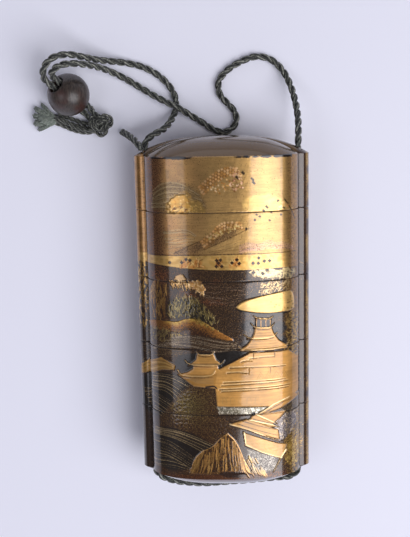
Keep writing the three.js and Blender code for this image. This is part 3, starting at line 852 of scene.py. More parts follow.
def paint_foliage(face):
    """Gold dust for leaves down the right, and dark clumps of trees by the tower."""
    x, y = face["x"], face["y"]
    rng = np.random.default_rng(15)
    column = np.clip((x - 15.9) / 1.6, 0, 1) * np.clip((3.6 - y) / 1.5, 0, 1) * (x < 20.4)
    dust = np.clip(0.5 + 1.4 * drift(x, y, 0.4, 16), 0, 1)
    lay(face, column * 0.9, "#a48448", 0.2 + 0.55 * dust, "#2e1d10")
    sprinkle(face, rng, [(15.8, -42), (20.2, -42), (20.2, 4), (17.4, 9), (16, 2)], 330, 0.32,
             ["#caa65c", "#8a6a34", "#3a2616"], share=0.85)
    glow = np.exp(-((x - 18.6) / 3) ** 2 - ((y + 35.4) / 3.4) ** 2)
    lay(face, glow * 0.9, "#cda244", 0.55 + 0.3 * dust)
    sprinkle(face, rng, [(16, -40), (20, -40), (20, -31), (17.6, -32)], 90, 0.34,
             ["#e6c468", "#8a6428"])
    for cx, cy, wide, high in (
        (6.6, 0.4, 1.9, 1.7), (6, -4.4, 1.7, 0.9), (14.8, -0.6, 2.2, 1.7), (14.8, -4.4, 2.1, 1.3),
        (14.9, -8.4, 1.9, 1),
        (16, -13.2, 1.4, 1.5),
    ):
        clump = [
            (cx + wide * math.cos(turn), cy + high * math.sin(turn)) for turn in np.linspace(0,
                6.28, 9)[:-1]
        ]
        patch(face, clump, "#6c625a", 0.16, edge=0.3, ragged=0.35, ground="#272320")
        needles(face, rng, clump, 5, 0.8, 120, 50, ["#8c8070", "#6a5c44"], 0.2, share=0.5)


def eaves(face, left, right, tip, thick=0.5, rise=0.9):
    """A roof's edge seen from in front, turned up at both ends, with its shadow underneath."""
    (ax, ay), (bx, by) = left, right
    line = [(ax - 0.3 * tip, ay + rise), (ax + 0.2 * tip, ay + 0.1),
            (ax + 0.25 * (bx - ax), ay - 0.2),
            (bx - 0.25 * (bx - ax), by - 0.2), (bx - 0.2 * tip, by + 0.1),
            (bx + 0.3 * tip, by + rise)]
    under = [(px, py - 0.45) for px, py in line[1:-1]]
    stroke(face, under, 0.26, "#7d5628", 0.45, height=0.12)
    for half in (line[3::-1], line[2:]):
        stroke(face, half, 0.75 * thick, "#dcb678", 1.0, 0.22, matte=0.5)


def paint_temple(face):
    """The temple on its terrace: flat gold walls, tiled roofs with turned-up eaves."""
    rng = np.random.default_rng(23)
    gold, line = "#bf8f4c", "#7d5a2c"
    flat = {"smooth": False, "matte": 1}
    # Darkness behind the roofs, and the terrace with its walls.
    patch(face, [(-13.4, -9.9), (-12.3, -7.6), (-7.6, -6.8), (-2.6, -6.8), (2.6, -6.2),
                 (6.3, -6.8), (2.6, -9),
                 (-2.4, -11.6), (-8.7, -12), (-12.4, -12.2)], "#4a3c2c", 0.1, smooth=False,
                 ground="#15110c", edge=0.4)
    patch(face, [(-2.6, -11.9), (2.6, -9), (6.6, -6.9), (17.2, -7.1), (20, -9.6), (20, -19.4),
                 (17.4, -20.4),
                 (13.2, -22.2), (-2.2, -21.7), (-2.6, -16.6), (-8.6, -16), (-8.6, -12.6)], gold, 1,
                 0.16, **flat)
    patch(face, [(-12.6, -12.9), (-8, -11.7), (-2, -11.7), (-2.6, -16), (-8.8, -15.7)], "#ae8040",
          1, 0.16, **flat)
    for first, last in (
        ((1.3, -11), (16.4, -11.3)), ((-0.4, -15.1), (16.4, -15)), ((-1, -15.9), (17, -15.6)),
        ((-1.6, -17), (17.6, -16.8)), ((-1, -17.6), (17.2, -17.4)), ((6.5, -8.6), (13.4, -8.4)),
        ((0.6, -12.4), (6.4, -12.6)), ((4.4, -9.4), (7.4, -9.2)),
    ):
        middle = ((first[0] + last[0]) / 2, (first[1] + last[1]) / 2 + 0.2)
        stroke(face, [first, middle, last], 0.3, line, 0.6, height=0.1)
        stroke(face, [(px, py + 0.3) for px, py in (first, middle, last)], 0.24, "#e8c58a", 1,
               matte=0.6)
    for fx in (7.6, 13.4):
        stroke(face, [(fx, -7.2), (fx, -8.6)], 0.26, line, 0.6, height=0.1)
        stroke(face, [(fx - 1.2, -11.3), (fx - 1.2, -12.9)], 0.26, line, 0.6, height=0.1)
    for k in range(4):
        fx = 8.6 + 2.1 * k
        stroke(face, [(fx, -14.2), (fx + 1, -12.4), (fx + 2, -14.2)], 0.22, "#a27c42", 0.85,
               smooth=False)
        stroke(face, [(fx + 0.5, -14.2), (fx + 1, -13.3), (fx + 1.5, -14.2)], 0.2, "#a27c42", 0.85,
               smooth=False)
    for k in range(5):
        fx = -0.8 + 2.2 * k
        stroke(face, [(fx, -20.9), (fx + 0.1, -19.3), (fx + 0.9, -19.1), (fx + 1.2, -20.7)], 0.2,
               "#b08a4e", 0.85)
    for k in range(9):
        stroke(face, [(-11 + 0.4 * k, -13.4 - 0.2 * k), (-3, -13.4 - 0.25 * k)], 0.2, "#a98450",
               0.85)
    stroke(face, [(-2.6, -11.6), (2.6, -9.1), (6.5, -7.1)], 0.3, "#2a1c10", 0.1)
    stroke(face, [(-5, -16.2), (-2.8, -15.9), (-2.2, -16.6)], 0.5, "#1c130e", 0.05)
    # The tower: storeys that widen downwards under their roofs.
    patch(face, [(8.5, 2.3), (12.5, 2.1), (12.4, -0.2), (8.3, 0)], "#3c2818", 0.25, 0.1,
          smooth=False, ground="#241509")
    for fx in (8.6, 9.8, 11.1, 12.3):
        stroke(face, [(fx, 2.3), (fx, 0.1)], 0.26, "#b98c50", 1, 0.14)
    patch(face, [(8.2, 0), (12.6, -0.2), (13, -1.5), (13.6, -2.6), (14.6, -4), (16.8, -5.6),
                 (16.8, -6.4),
                 (4, -6.2), (6.2, -4.6), (7.3, -3.1), (8, -1.6)], gold, 1, 0.18, **flat)
    for k in range(7):
        fy = -0.8 - 0.75 * k
        half = 1.6 + 0.42 * k
        stroke(face, [(10.5 - half, fy), (10.5 + half, fy - 0.1)], 0.22, "#9a7238", 0.75,
               height=0.14)
    eaves(face, (8.2, 2.6), (12.8, 2.3), 1, 0.4, 0.5)
    eaves(face, (7.6, 0.1), (13, -0.1), 1.4, 0.45, 1)
    eaves(face, (5.8, -2.8), (13.6, -2.8), 1.6, 0.45, 1)
    eaves(face, (4.2, -6), (16.6, -6.1), 1.6, 0.5, 1)
    # The smaller hall, and its two roofs.
    patch(face, [(-7.3, -7.1), (-2.9, -7.1), (-2.3, -8.6), (-1, -9.8), (-9, -9.8), (-7.6, -8.6)],
          gold, 1, 0.18, **flat)
    patch(face, [(-8.3, -9.8), (-2, -9.8), (-1.6, -11.8), (-8.6, -11.8)], "#c6965a", 1, 0.14,
          **flat)
    patch(face, [(-8.2, -11), (-1.8, -11), (-0.4, -12.2), (-12.2, -13), (-10.2, -12.3)], gold, 1,
          0.18, **flat)
    for k in range(6):
        stroke(face, [(-7 + 0.1 * k, -7.6 - 0.4 * k), (-3 + 0.25 * k, -7.6 - 0.4 * k)], 0.2,
               "#a27c42", 0.85)
    eaves(face, (-7.2, -7.1), (-3, -7.1), 0.8, 0.36, 0.6)
    eaves(face, (-10.2, -9.9), (-0.6, -10), 1.6, 0.45, 1.2)
    eaves(face, (-12.2, -13), (-3, -13), 1.4, 0.45, 1.4)
    # A low house at the left edge, over the runner.
    patch(face, [(-23.3, -12.6), (-20.7, -10.5), (-17.1, -8.6), (-15.6, -9.4), (-13.3, -10.4),
                 (-13.6, -11.7),
                 (-16.9, -12), (-20.8, -14.2), (-23.3, -15.2)], "#b58a46", 0.92, 0.1, matte=0.6,
                 smooth=False)
    combed(face, [(-20.6, -10.6), (-17, -9), (-13.6, -10.6)],
           [(-20.6, -13.8), (-17, -11.8), (-14, -11.7)], 5,
           ["#7a5c2c", "#dcb972"], 0.24, 0.12, share=0.8)
    needles(face, rng, [(-23.4, -14), (-20.8, -12.6), (-20.8, -11), (-23.4, -12.4)], 14, 1, 0, 30,
            ["#d6ac58", "#7a5a2c"], 0.26)


def paint_waves(face):
    """Waves: fine gold lines combed side by side over black lacquer."""
    patch(face, [(-23.6, -16.4), (-19.5, -13.6), (-15.9, -12.6), (-12.4, -13.2), (-8.6, -15.4),
                 (-12, -17.6),
                 (-15.5, -22), (-18, -26), (-23.6, -26)], "#54442e", 0.1, ground="#17120c",
                 edge=0.6)
    patch(face, [(-20.6, -29.4), (-16.4, -28.2), (-10.5, -28.6), (-3.8, -32.2), (-3.4, -34),
                 (-8.4, -36.4),
                 (-10, -40.4), (-20.6, -40.6)], "#54442e", 0.1, ground="#19120c", edge=0.8)
    powders = ["#a8926a", "#6b5a42", "#c4ab7e", "#4a3c2a"]
    combed(face, [(-19.6, -13.9), (-16.4, -12.9), (-13, -13.5), (-9.2, -15.5)],
           [(-20.4, -18.4), (-17, -17.6), (-15, -18.6), (-13.4, -20.2)], 13, powders, 0.24, 0.1,
           share=0.8)
    combed(face, [(-23, -19.4), (-19.6, -18.8), (-16.6, -19.8), (-13.6, -21.4)],
           [(-20.4, -25), (-18.6, -24.8), (-17, -25.6), (-16, -26.6)], 13, powders, 0.22, 0.12,
           share=0.7)
    combed(face, [(-19.4, -29), (-14, -28.7), (-9, -29.8), (-3.6, -32.6)],
           [(-20, -31), (-15, -30.8), (-10, -32.6), (-6, -34.8)], 9, powders, 0.24, 0.1, share=0.85)
    combed(face, [(-20.2, -32.4), (-16, -32), (-12.4, -33.8), (-8.8, -36.4)],
           [(-20.4, -37.4), (-17, -36.6), (-13.6, -37.8), (-10.2, -39.6)], 12, powders, 0.22, 0.14,
           share=0.65)
    combed(face, [(-20.4, -37.9), (-15.4, -36.8), (-11.6, -38)],
           [(-20, -40.4), (-15, -39.6), (-10.2, -40.4)], 6, powders, 0.24, 0.12, share=0.7)


def paint_rocks(face):
    """Rocks beside the water, netted with cracks, and a strip of silvery gravel."""
    x, y = face["x"], face["y"]
    rng = np.random.default_rng(24)
    rock = curved([(-12.3, -18.6), (-9.5, -16.2), (-5.5, -15.9), (-2.4, -17.4), (-2.1, -22.6),
                   (-2.6, -24.4),
                   (2, -26.5), (0.4, -29.6), (-3.6, -32), (-8, -29.4), (-13, -28.4),
                   (-17.2, -27.4), (-17.7, -25.9), (-15.1, -22.8)])
    depth = inside(x, y, rock)
    where = np.clip(depth / 0.8 + 0.5, 0, 1)
    cracks = netting(x + 0.2 * drift(x, y, 0.6, 25), y, 1.15, 18)
    bright = np.exp(-((x + 10) / 4.6) ** 2 - ((y + 21.4) / 4.6) ** 2)
    lay(face, where, "#7a5a34", 0.36, "#2e1c0e")
    lay(face, where * bright, "#7c6a3c", 0.6)
    lay(face, where * np.clip(1.3 - cracks / 0.14, 0, 1) * (0.25 + 0.5 * bright), "#96834e", 0.75)
    shade = (abs(cracks - 0.3) < 0.09) * (drift(x, y, 0.5, 26) > -0.2)
    lay(face, where * shade * 0.6, "#2f2412", 0.15)
    face["height"] += 0.02 * np.clip(depth / 1.2, 0, 1) * np.clip(cracks * 1.5, 0, 1)
    strip = [(-2.4, -21.7), (13.4, -22.2), (10.1, -24.2), (-1.6, -23.9)]
    patch(face, strip, "#8c8672", 0.6, edge=0.4, smooth=False, ground="#3a3226")
    sprinkle(face, rng, strip, 150, 0.34, ["#b8b0a0", "#5e5440", "#d8cfb8"], share=0.8)


def paint_near_roofs(face):
    """In front: a long roof and a wall at the right, a thatched ridge, and bare trees."""
    rng = np.random.default_rng(21)
    flat = {"smooth": False, "matte": 1}
    edge = "#f4d49c"
    clump = [(12.6, -27.4), (14.4, -25.6), (17, -24.6), (19.4, -25), (19.2, -28.6), (16.3, -32),
             (14, -33), (13.4, -30.8)]
    patch(face, [(14, -23.2), (17.6, -21), (20.2, -20.4), (20.2, -25), (16, -25.4)], "#8a7450",
          0.4, edge=0.8,
          ragged=0.5, ground="#33271a")
    patch(face, clump, "#9a8f8c", 0.5, 0.06, ragged=0.5, edge=0.5, ground="#3b322e")
    needles(face, rng, clump, 70, 0.9, 100, 60, ["#c9b89c", "#57493c", "#a98f68"], 0.24, share=0.8)
    silver = [(5.4, -34), (9, -33.9), (14.1, -36.4), (13.6, -40.2), (11, -41.4), (7, -41),
              (5.6, -37)]
    patch(face, silver, "#9c968a", 0.46, edge=1.0, ragged=0.5, ground="#4a4038")
    sprinkle(face, rng, silver, 60, 0.36, ["#b8b2a6", "#6e6456"], share=0.5)
    # The near roofs slope across the corner, edged with bright beams.
    patch(face, [(9.4, -23.8), (13.2, -21.7), (18.8, -19.6), (20, -20.6), (15.2, -22.9),
                 (10.6, -24.1)],
          "#b88a4c", 1, 0.16, **flat)
    patch(face, [(7.4, -24.1), (16.4, -24), (14.8, -25.6), (12.7, -27.2), (14, -28.2), (12, -28),
                 (6.4, -25.8)],
          "#c0904e", 1, 0.18, **flat)
    patch(face, [(1.4, -26.6), (5.7, -25.4), (14.2, -29), (14.6, -31.9)], "#c69858", 1, 0.2, **flat)
    patch(face, [(4.9, -29.2), (14.2, -32.9), (16.6, -33.6), (15.2, -37.4), (9.7, -35),
                 (5.3, -32.7)],
          "#c89c60", 1, 0.18, **flat)
    for line in (
        [(1.2, -26.7), (6.4, -28.5), (14.3, -32.2)], [(6.4, -25.6), (12.6, -27.4), (14.3, -28.3)],
        [(4.9, -29.1), (5.3, -32.6)], [(5.3, -32.7), (9.7, -35), (15.3, -37.4)],
        [(9.1, -23.9), (13.2, -21.6), (17.4, -20.2)], [(16.4, -35.2), (14.6, -37.8), (12.8, -41)],
        [(8, -24), (12, -26.2), (14, -27.4)],
    ):
        stroke(face, line, 0.42, edge, 1.0, 0.24, smooth=False, matte=0.5)
    for line in (
        [(1.6, -27.2), (6.4, -29), (14, -32.7)], [(4.6, -25.9), (13.4, -28.9)],
        [(3.2, -26.6), (14, -30.6)],
        [(9.6, -24.4), (13.6, -22.2), (18, -20.7)], [(13.3, -27.6), (16.2, -24.6)],
        [(7.4, -25.4), (12.4, -27)],
        [(11.2, -23.4), (16.4, -20.9)],
    ):
        stroke(face, line, 0.24, "#7a5426", 0.4, smooth=False)
    needles(face, rng, [(5.2, -29.6), (14, -33), (15, -36.8), (9.7, -34.6), (5.4, -32.4)], 26, 0.8,
            -70, 12,
            ["#c89850"], 0.2, share=1)
    # The thatched ridges: dark mounds covered with long drawn strokes of raised gold.
    mound = [(-9.6, -41), (-9.2, -38.4), (-8.4, -36.2), (-6.4, -34.3), (-3.6, -33.3),
             (-1.7, -30.9), (0.4, -29.4),
             (2.5, -31.4), (3.9, -34.4), (4.8, -37.3), (6.6, -40.8), (2, -41), (-4, -41.2)]
    patch(face, mound, "#7a5226", 0.36, 0.1, edge=0.5, ground="#2b1a0c")
    top = [(-9.4, -39), (-8.6, -36.6), (-6.4, -34.3), (-3.6, -33.3), (-1.7, -30.9), (0.4, -29.4),
           (2.5, -31.4), (3.9, -34.4), (4.8, -37.3), (6.4, -40)]
    for k in range(120):
        fx = rng.uniform(-9.2, 6)
        peak = np.interp(fx, *zip(*top))
        fy = peak - rng.uniform(0, 1) ** 1.4 * (peak + 39.4)
        bend = 0.14 * (fx - 0.4)
        long = rng.uniform(1.8, 4.6)
        foot = max(fy - long, -41)
        stroke(face, [(fx, fy), (fx + bend * 0.3, (fy + foot) / 2), (fx + bend, foot)], 0.27,
               ["#b8894a", "#8f6a34", "#c99c58"][k % 3], share=0.95, height=0.09)
    for side in (1, -1):
        half = [p for p in top if side * (p[0] - 0.4) >= 0][::side]
        stroke(face, half, 0.26, "#b98c4c", 0.8, 0.1)
    for k in range(44):
        fx = rng.uniform(4.8, 10.4)
        peak = np.interp(fx, (4.6, 6.3, 8, 9.4, 10.8), (-36.6, -35.2, -36.4, -39, -40.6))
        fy = peak - rng.uniform(0, 1) * (peak + 40.8)
        stroke(face, [(fx, fy), (fx + 0.3, fy - 0.8), (fx + 0.8, fy - 1.6)], 0.24,
               ["#c8a468", "#9a8260"][k % 2], share=0.85, height=0.06)
    patch(face, [(-2.8, -40.7), (1.1, -40.1), (6, -40.8), (4.9, -41.9), (0.1, -42.1)], "#5a3a20",
          0.24,
          ground="#2a170c", edge=0.3)
    stroke(face, [(-9.6, -41), (-4, -40.6), (1.1, -40), (6.2, -40.7), (9.8, -41.6)], 0.26,
           "#8a6238", 0.6)
    flake(face, 7.6, -24, 0.9, 0.4, "#120d0a", 0, ground="#120d0a")


def paint(face, front):
    """The whole picture on one side; the back has the land and the water without the buildings."""
    paint_ground(face)
    paint_runners(face)
    paint_far_hills(face)
    paint_shore(face)
    paint_near_hills(face)
    paint_waves(face)
    if front:
        paint_foliage(face)
        paint_rocks(face)
        paint_temple(face)
        paint_near_roofs(face)


GRAIN, CLOUD, WIPE = 0.3, 5, 0.5     # sizes of the patterns
SHARP_ANGLE = 38                     # steeper edges stay sharp

# Gold maki-e: fine gold powder sprinkled on brown and black lacquer, then clear lacquer, burnished.
gold_lacquer, tree, shader = new_material("gold_powder_in_polished_lacquer")
coords = node(tree, "ShaderNodeTexCoord")
powder = node(tree, "ShaderNodeAttribute", attribute_name="powder")
ground = node(tree, "ShaderNodeAttribute", attribute_name="ground")
share = node(tree, "ShaderNodeAttribute", attribute_name="share")
# Powder grains are far too fine to see; drawn at 0.3 mm, so that thin sprinkling looks speckled.
grain = node(
    tree, "ShaderNodeTexNoise",
    {"Vector": coords.outputs["Object"], "Scale": 1000 / GRAIN, "Detail": 2.0, "Roughness": 0.6},
)
spread = node(
    tree, "ShaderNodeMath", {0: grain.outputs[0], 1: 1.6, 2: -0.8}, operation="MULTIPLY_ADD",
)
total = node(tree, "ShaderNodeMath", {0: share.outputs["Fac"], 1: spread.outputs[0]},
             operation="ADD")
cover = node(
    tree, "ShaderNodeMapRange", {0: total.outputs[0], 1: 0.25, 2: 0.75, 3: 0.0, 4: 1.0},
    interpolation_type="SMOOTHSTEP",
)
cloud = node(
    tree, "ShaderNodeTexNoise",
    {"Vector": coords.outputs["Object"], "Scale": 1000 / CLOUD, "Detail": 4.0, "Roughness": 0.6},
)
deep = node(tree, "ShaderNodeMapRange", {0: cloud.outputs[0], 1: 0.3, 2: 0.7, 3: 0.78, 4: 1.15})
# Burnishing strokes run across the case; drawn 0.5 mm wide and some 5 mm long.
wiped = node(tree, "ShaderNodeMapping",
             {"Vector": coords.outputs["Object"], "Scale": (0.1, 1, 0.1)})
strokes = node(
    tree, "ShaderNodeTexNoise",
    {"Vector": wiped.outputs[0], "Scale": 1000 / WIPE, "Detail": 2.0, "Roughness": 0.6},
)
worn = node(
    tree, "ShaderNodeMapRange", {0: strokes.outputs[0], 1: 0.3, 2: 0.7, 3: 0.84, 4: 1.12},
)
dimmed = node(tree, "ShaderNodeMath", {0: deep.outputs[0], 1: worn.outputs[0]},
              operation="MULTIPLY")
toned = node(
    tree, "ShaderNodeVectorMath", {0: powder.outputs["Color"], "Scale": dimmed.outputs[0]},
    operation="SCALE",
)
both = node(
    tree, "ShaderNodeMix", {0: cover.outputs[0], 6: ground.outputs["Color"], 7: toned.outputs[0]},
    data_type="RGBA",
)
tree.links.new(both.outputs[2], shader.inputs["Base Color"])
metal = node(tree, "ShaderNodeMath", {0: cover.outputs[0], 1: 0.92}, operation="MULTIPLY")
tree.links.new(metal.outputs[0], shader.inputs["Metallic"])
matte = node(tree, "ShaderNodeAttribute", attribute_name="matte")
polish = node(
    tree, "ShaderNodeMath", {0: cover.outputs[0], 1: 0.13, 2: 0.18}, operation="MULTIPLY_ADD",
)
dulled = node(
    tree, "ShaderNodeMath", {0: matte.outputs["Fac"], 1: 0.2, 2: polish.outputs[0]},
    operation="MULTIPLY_ADD",
)
tree.links.new(dulled.outputs[0], shader.inputs["Roughness"])
bump = node(
    tree, "ShaderNodeBump",
    {"Height": grain.outputs[0], "Distance": 0.02 * MM, "Strength": 0.35},
)
# The lacquer isn't quite flat, so reflections waver.
waver = node(
    tree, "ShaderNodeBump",
    {"Height": cloud.outputs[0], "Distance": 0.12 * MM, "Strength": 1.0, "Normal": bump.outputs[0]},
)
tree.links.new(waver.outputs[0], shader.inputs["Normal"])
shader.inputs["Specular IOR Level"].default_value = 0.25
shader.inputs["Coat Weight"].default_value = 1.0
shader.inputs["Coat Roughness"].default_value = 0.09


def bored(piece, mouths=()):
    """Bores the two cord holes through a section, with a cone where the cord leaves it."""
    cutter = bmesh.new()
    for x in (-RIB_X, RIB_X):
        cuts = [(0, 400, BORE_RADIUS, BORE_RADIUS)]
        cuts += [
            (y - up * (MOUTH_DEPTH / 2 - 0.1), MOUTH_DEPTH, *[BORE_RADIUS, MOUTH_RADIUS][::up])
            for y, up in mouths
        ]
        for y, depth, low, high in cuts:
            cone = bmesh.ops.create_cone(
                cutter, cap_ends=True, segments=32, radius1=high * MM, radius2=low * MM,
                depth=depth * MM,
            )["verts"]
            bmesh.ops.rotate(cutter, verts=cone, matrix=Matrix.Rotation(math.pi / 2, 3, "X"))
            bmesh.ops.translate(cutter, verts=cone, vec=Vector((x, y, MIDDLE_Z)) * MM)
    tool = finished("bore", cutter, gold_lacquer)
    cut = piece.modifiers.new("bore", "BOOLEAN")
    cut.object = tool
    cut.solver = "MANIFOLD"
    whole = bpy.data.meshes.new_from_object(piece.evaluated_get(bpy.context.evaluated_depsgraph_get()))
    piece.modifiers.clear()
    piece.data = whole
    bpy.data.objects.remove(tool)


def painted(piece):
    """Paints a section, and raises what stands up on built-up lacquer."""
    mesh = piece.data
    count = len(mesh.vertices)
    spots = np.empty(count * 3)
    mesh.vertices.foreach_get("co", spots)
    spots = spots.reshape(-1, 3)
    outwards = np.empty(count * 3)
    mesh.vertices.foreach_get("normal", outwards)
    outer = np.empty(count)
    mesh.attributes["outer"].data.foreach_get("value", outer)
    bare = np.array(linear("#2a1a12")[:3])
    fields = {
        "powder": np.tile(np.array(linear("#8a6a3a")[:3]), (count, 1)),
        "ground": np.tile(bare, (count, 1)),
        "share": np.full(count, 0.3), "height": np.zeros(count), "matte": np.zeros(count),
    }
    front = spots[:, 2] > MIDDLE_Z * MM
    for chosen, is_front in ((front, True), (~front, False)):
        chosen = np.flatnonzero(chosen & (outer > 0.5))
        face = {field: values[chosen] for field, values in fields.items()}
        face["x"], face["y"] = spots[chosen, 0] / MM, spots[chosen, 1] / MM
        paint(face, is_front)
        for field in fields:
            fields[field][chosen] = face[field]
    spots += outwards.reshape(-1, 3) * (fields["height"] * (outer > 0.5) * MM)[:, None]
    mesh.vertices.foreach_set("co", spots.ravel())
    for field in ("powder", "ground"):
        layer = mesh.attributes.new(field, "FLOAT_COLOR", "POINT")
        rgba = np.concatenate([fields[field], np.ones((count, 1))], axis=1)
        layer.data.foreach_set("color", rgba.astype(np.float32).ravel())
    for field in ("share", "matte"):
        layer = mesh.attributes.new(field, "FLOAT", "POINT")
        layer.data.foreach_set("value", fields[field].astype(np.float32))
    mesh.attributes.remove(mesh.attributes["outer"])
    mesh.update()
    mesh.set_sharp_from_angle(angle=math.radians(SHARP_ANGLE))


MOUTH_RISE = 1 - (RIB_X / (RIB_X + RIB_RADIUS)) ** DOME_POWER
LID_LOW = TOP_Y - LID_SIDE
lid = section(
    "lacquer_lid",
    [*dome(TOP_Y - FLOOR / 2, LID_RISE - FLOOR / 2, 16, half=SOCKET)[::-1],
     ring(LID_LOW + SEAM, half=SOCKET)],
    [*side(LID_LOW + SEAM, TOP_Y, high_round=False), ring(TOP_Y - 0.1), *dome(TOP_Y, LID_RISE, 36)],
)
bored(lid, [(TOP_Y + LID_RISE * MOUTH_RISE, 1)])
sections = {"lid": lid}

for number in (1, 2, 3, 4):
    top_y = LID_LOW - (number - 1) * CASE_SIDE
    low_y = top_y - CASE_SIDE + SEAM
    lip_y = top_y + LIP_HEIGHT
    lip = [
        ring(top_y, half=LIP), ring(lip_y - 0.15, half=LIP), ring(lip_y, half=(17.95, 10.45)),
        ring(lip_y, half=(17.35, 9.85)), ring(lip_y - 0.15, half=CAVITY),
    ]
    if number < 4:
        floor_y = low_y + SOCKET_DEPTH
        before = [ring(floor_y, half=(0.4, 0.3)), ring(floor_y, half=SOCKET),
                  ring(low_y, half=SOCKET)]
        outside = side(low_y, top_y)
        cavity = [ring(floor_y + FLOOR, half=CAVITY), ring(floor_y + FLOOR, half=(0.4, 0.3))]
    else:
        before = []
        outside = [*dome(FOOT_Y, -FOOT_RISE, 32)[::-1], ring(FOOT_Y + 0.1)]
        outside += side(FOOT_Y, top_y, low_round=False)
        cavity = dome(FOOT_Y + FLOOR / 2, FLOOR - FOOT_RISE, 16, half=CAVITY)
    case = section(f"lacquer_case_{number}", before, outside, [*lip, *cavity])
    bored(case, [(FOOT_Y - FOOT_RISE * MOUTH_RISE, -1)] if number == 4 else [])
    sections[f"case_{number}"] = case

for name, piece in sections.items():
    painted(piece)
    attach(piece, "root")
    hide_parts(name)


# ---- The bead ----------------------------------------------------------------------------
# A ball of dark hardwood turned on a lathe, drilled through for the doubled cord, which it slides
# along to draw the case shut; waxed, and rubbed smooth by the hand.

BEAD_RADIUS, BEAD_HOLE = 5.75, 2.3
BEAD_CENTRE = Vector((-41.4, 61.65, 5.75))
BEAD_AXIS = Vector((-0.543, 0.543, 0.64))

# Waxed dark hardwood: pores and fine streaks along the grain, redder in places, softly shining.
bead_wood, tree, shader = new_material("waxed_dark_hardwood")
coords = node(tree, "ShaderNodeTexCoord")
grainwise = node(
    tree, "ShaderNodeMapping",
    {"Vector": coords.outputs["Object"], "Rotation": (0.3, 0.5, 0.75), "Scale": (1, 0.12, 1)},
)
pores = node(
    tree, "ShaderNodeTexNoise",
    {"Vector": grainwise.outputs[0], "Scale": 1000 / 0.35, "Detail": 3.0, "Roughness": 0.7},
)
figure = node(
    tree, "ShaderNodeTexNoise",
    {"Vector": coords.outputs["Object"], "Scale": 1000 / 4, "Detail": 2.0, "Distortion": 0.4},
)
ramp = node(tree, "ShaderNodeValToRGB", {0: pores.outputs[0]})
ramp.color_ramp.elements[0].position = 0.36
ramp.color_ramp.elements[0].color = linear("#191411")
ramp.color_ramp.elements[1].position = 0.68
ramp.color_ramp.elements[1].color = linear("#4b413a")
red = node(tree, "ShaderNodeMapRange", {0: figure.outputs[0], 1: 0.48, 2: 0.66, 3: 0.0, 4: 0.55})
both = node(
    tree, "ShaderNodeMix", {0: red.outputs[0], 6: ramp.outputs[0], 7: linear("#45241f")},
    data_type="RGBA",
)
tree.links.new(both.outputs[2], shader.inputs["Base Color"])
bump = node(
    tree, "ShaderNodeBump", {"Height": pores.outputs[0], "Distance": 0.06 * MM, "Strength": 0.6},
)
tree.links.new(bump.outputs[0], shader.inputs["Normal"])
shader.inputs["Roughness"].default_value = 0.38
shader.inputs["Coat Weight"].default_value = 0.25
shader.inputs["Coat Roughness"].default_value = 0.25

bm = bmesh.new()
rim = math.asin((BEAD_HOLE + 0.35) / BEAD_RADIUS)
top = BEAD_RADIUS * math.cos(rim)
profile = [
    (BEAD_RADIUS * math.sin(turn), BEAD_RADIUS * math.cos(turn))
    for turn in np.linspace(rim, math.pi - rim, 61)
]
profile += [(BEAD_HOLE + 0.2, 0.04 - top), (BEAD_HOLE + 0.06, 0.16 - top), (BEAD_HOLE, 0.4 - top)]
profile += [(BEAD_HOLE, top - 0.4), (BEAD_HOLE + 0.06, top - 0.16), (BEAD_HOLE + 0.2, top - 0.04)]
corners = [bm.verts.new((x * MM, 0, z * MM)) for x, z in profile]
edges = [bm.edges.new(pair) for pair in zip(corners, [*corners[1:], corners[0]])]
bmesh.ops.spin(
    bm, geom=[*corners, *edges], cent=(0, 0, 0), axis=(0, 0, 1), dvec=(0, 0, 0),
    angle=2 * math.pi, steps=96, use_merge=True,
)
bmesh.ops.remove_doubles(bm, verts=bm.verts, dist=SAME_SPOT)
bmesh.ops.recalc_face_normals(bm, faces=bm.faces)
upright = Vector((0, 0, 1)).rotation_difference(BEAD_AXIS).to_matrix()
bmesh.ops.rotate(bm, verts=bm.verts, matrix=upright)
bmesh.ops.translate(bm, verts=bm.verts, vec=BEAD_CENTRE * MM)
bead = finished("turned_bead", bm, bead_wood)
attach(bead, "root")
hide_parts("bead")


# ---- The knot and the cord's ends --------------------------------------------------------
# Below the bead both strands are tied together in one round knot, and their ends run on as a
# loose bundle that has come untwisted into soft tufts of silk.

KNOT_CENTRE = np.array((-33.2, 53.5, 3.05))
KNOT_WIDE, KNOT_HIGH = 0.82, 1.45    # the knot path's scale across and in height
SLIM = 0.7                           # the pulled tight strands, against the free cord

bm = bmesh.new()
turn = np.linspace(0, 2 * math.pi, 181)
loop = np.stack([
    KNOT_WIDE * (np.sin(turn) + 2 * np.sin(2 * turn)),
    KNOT_WIDE * (np.cos(turn) - 2 * np.cos(2 * turn)),
    -KNOT_HIGH * np.sin(3 * turn),
], axis=1)
outward = np.cross(np.gradient(loop, axis=0), (0, 0, 1))
outward /= np.linalg.norm(outward, axis=1)[:, None]
for apart in (-0.58, 0.58):
    twisted(bm, KNOT_CENTRE + loop + apart * outward, scale=SLIM, phase=apart, sides=8)
for points in (
    [(-35.9, 57.4, 1.4), (-35, 56.5, 2.4), (-33.8, 55.2, 3.4), (-32.8, 53.6, 3.4),
     (-32.4, 52, 2.6)],
    [(-37.4, 56.1, 1.4), (-36.6, 55.3, 2.2), (-35.4, 54.4, 3.2), (-34.2, 53.2, 3.2),
     (-33.6, 51.6, 2.6)],
):
    twisted(bm, route(points), scale=0.85, sides=8)
knot = finished("silk_knot", bm, silk)
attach(knot, "root")
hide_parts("knot")

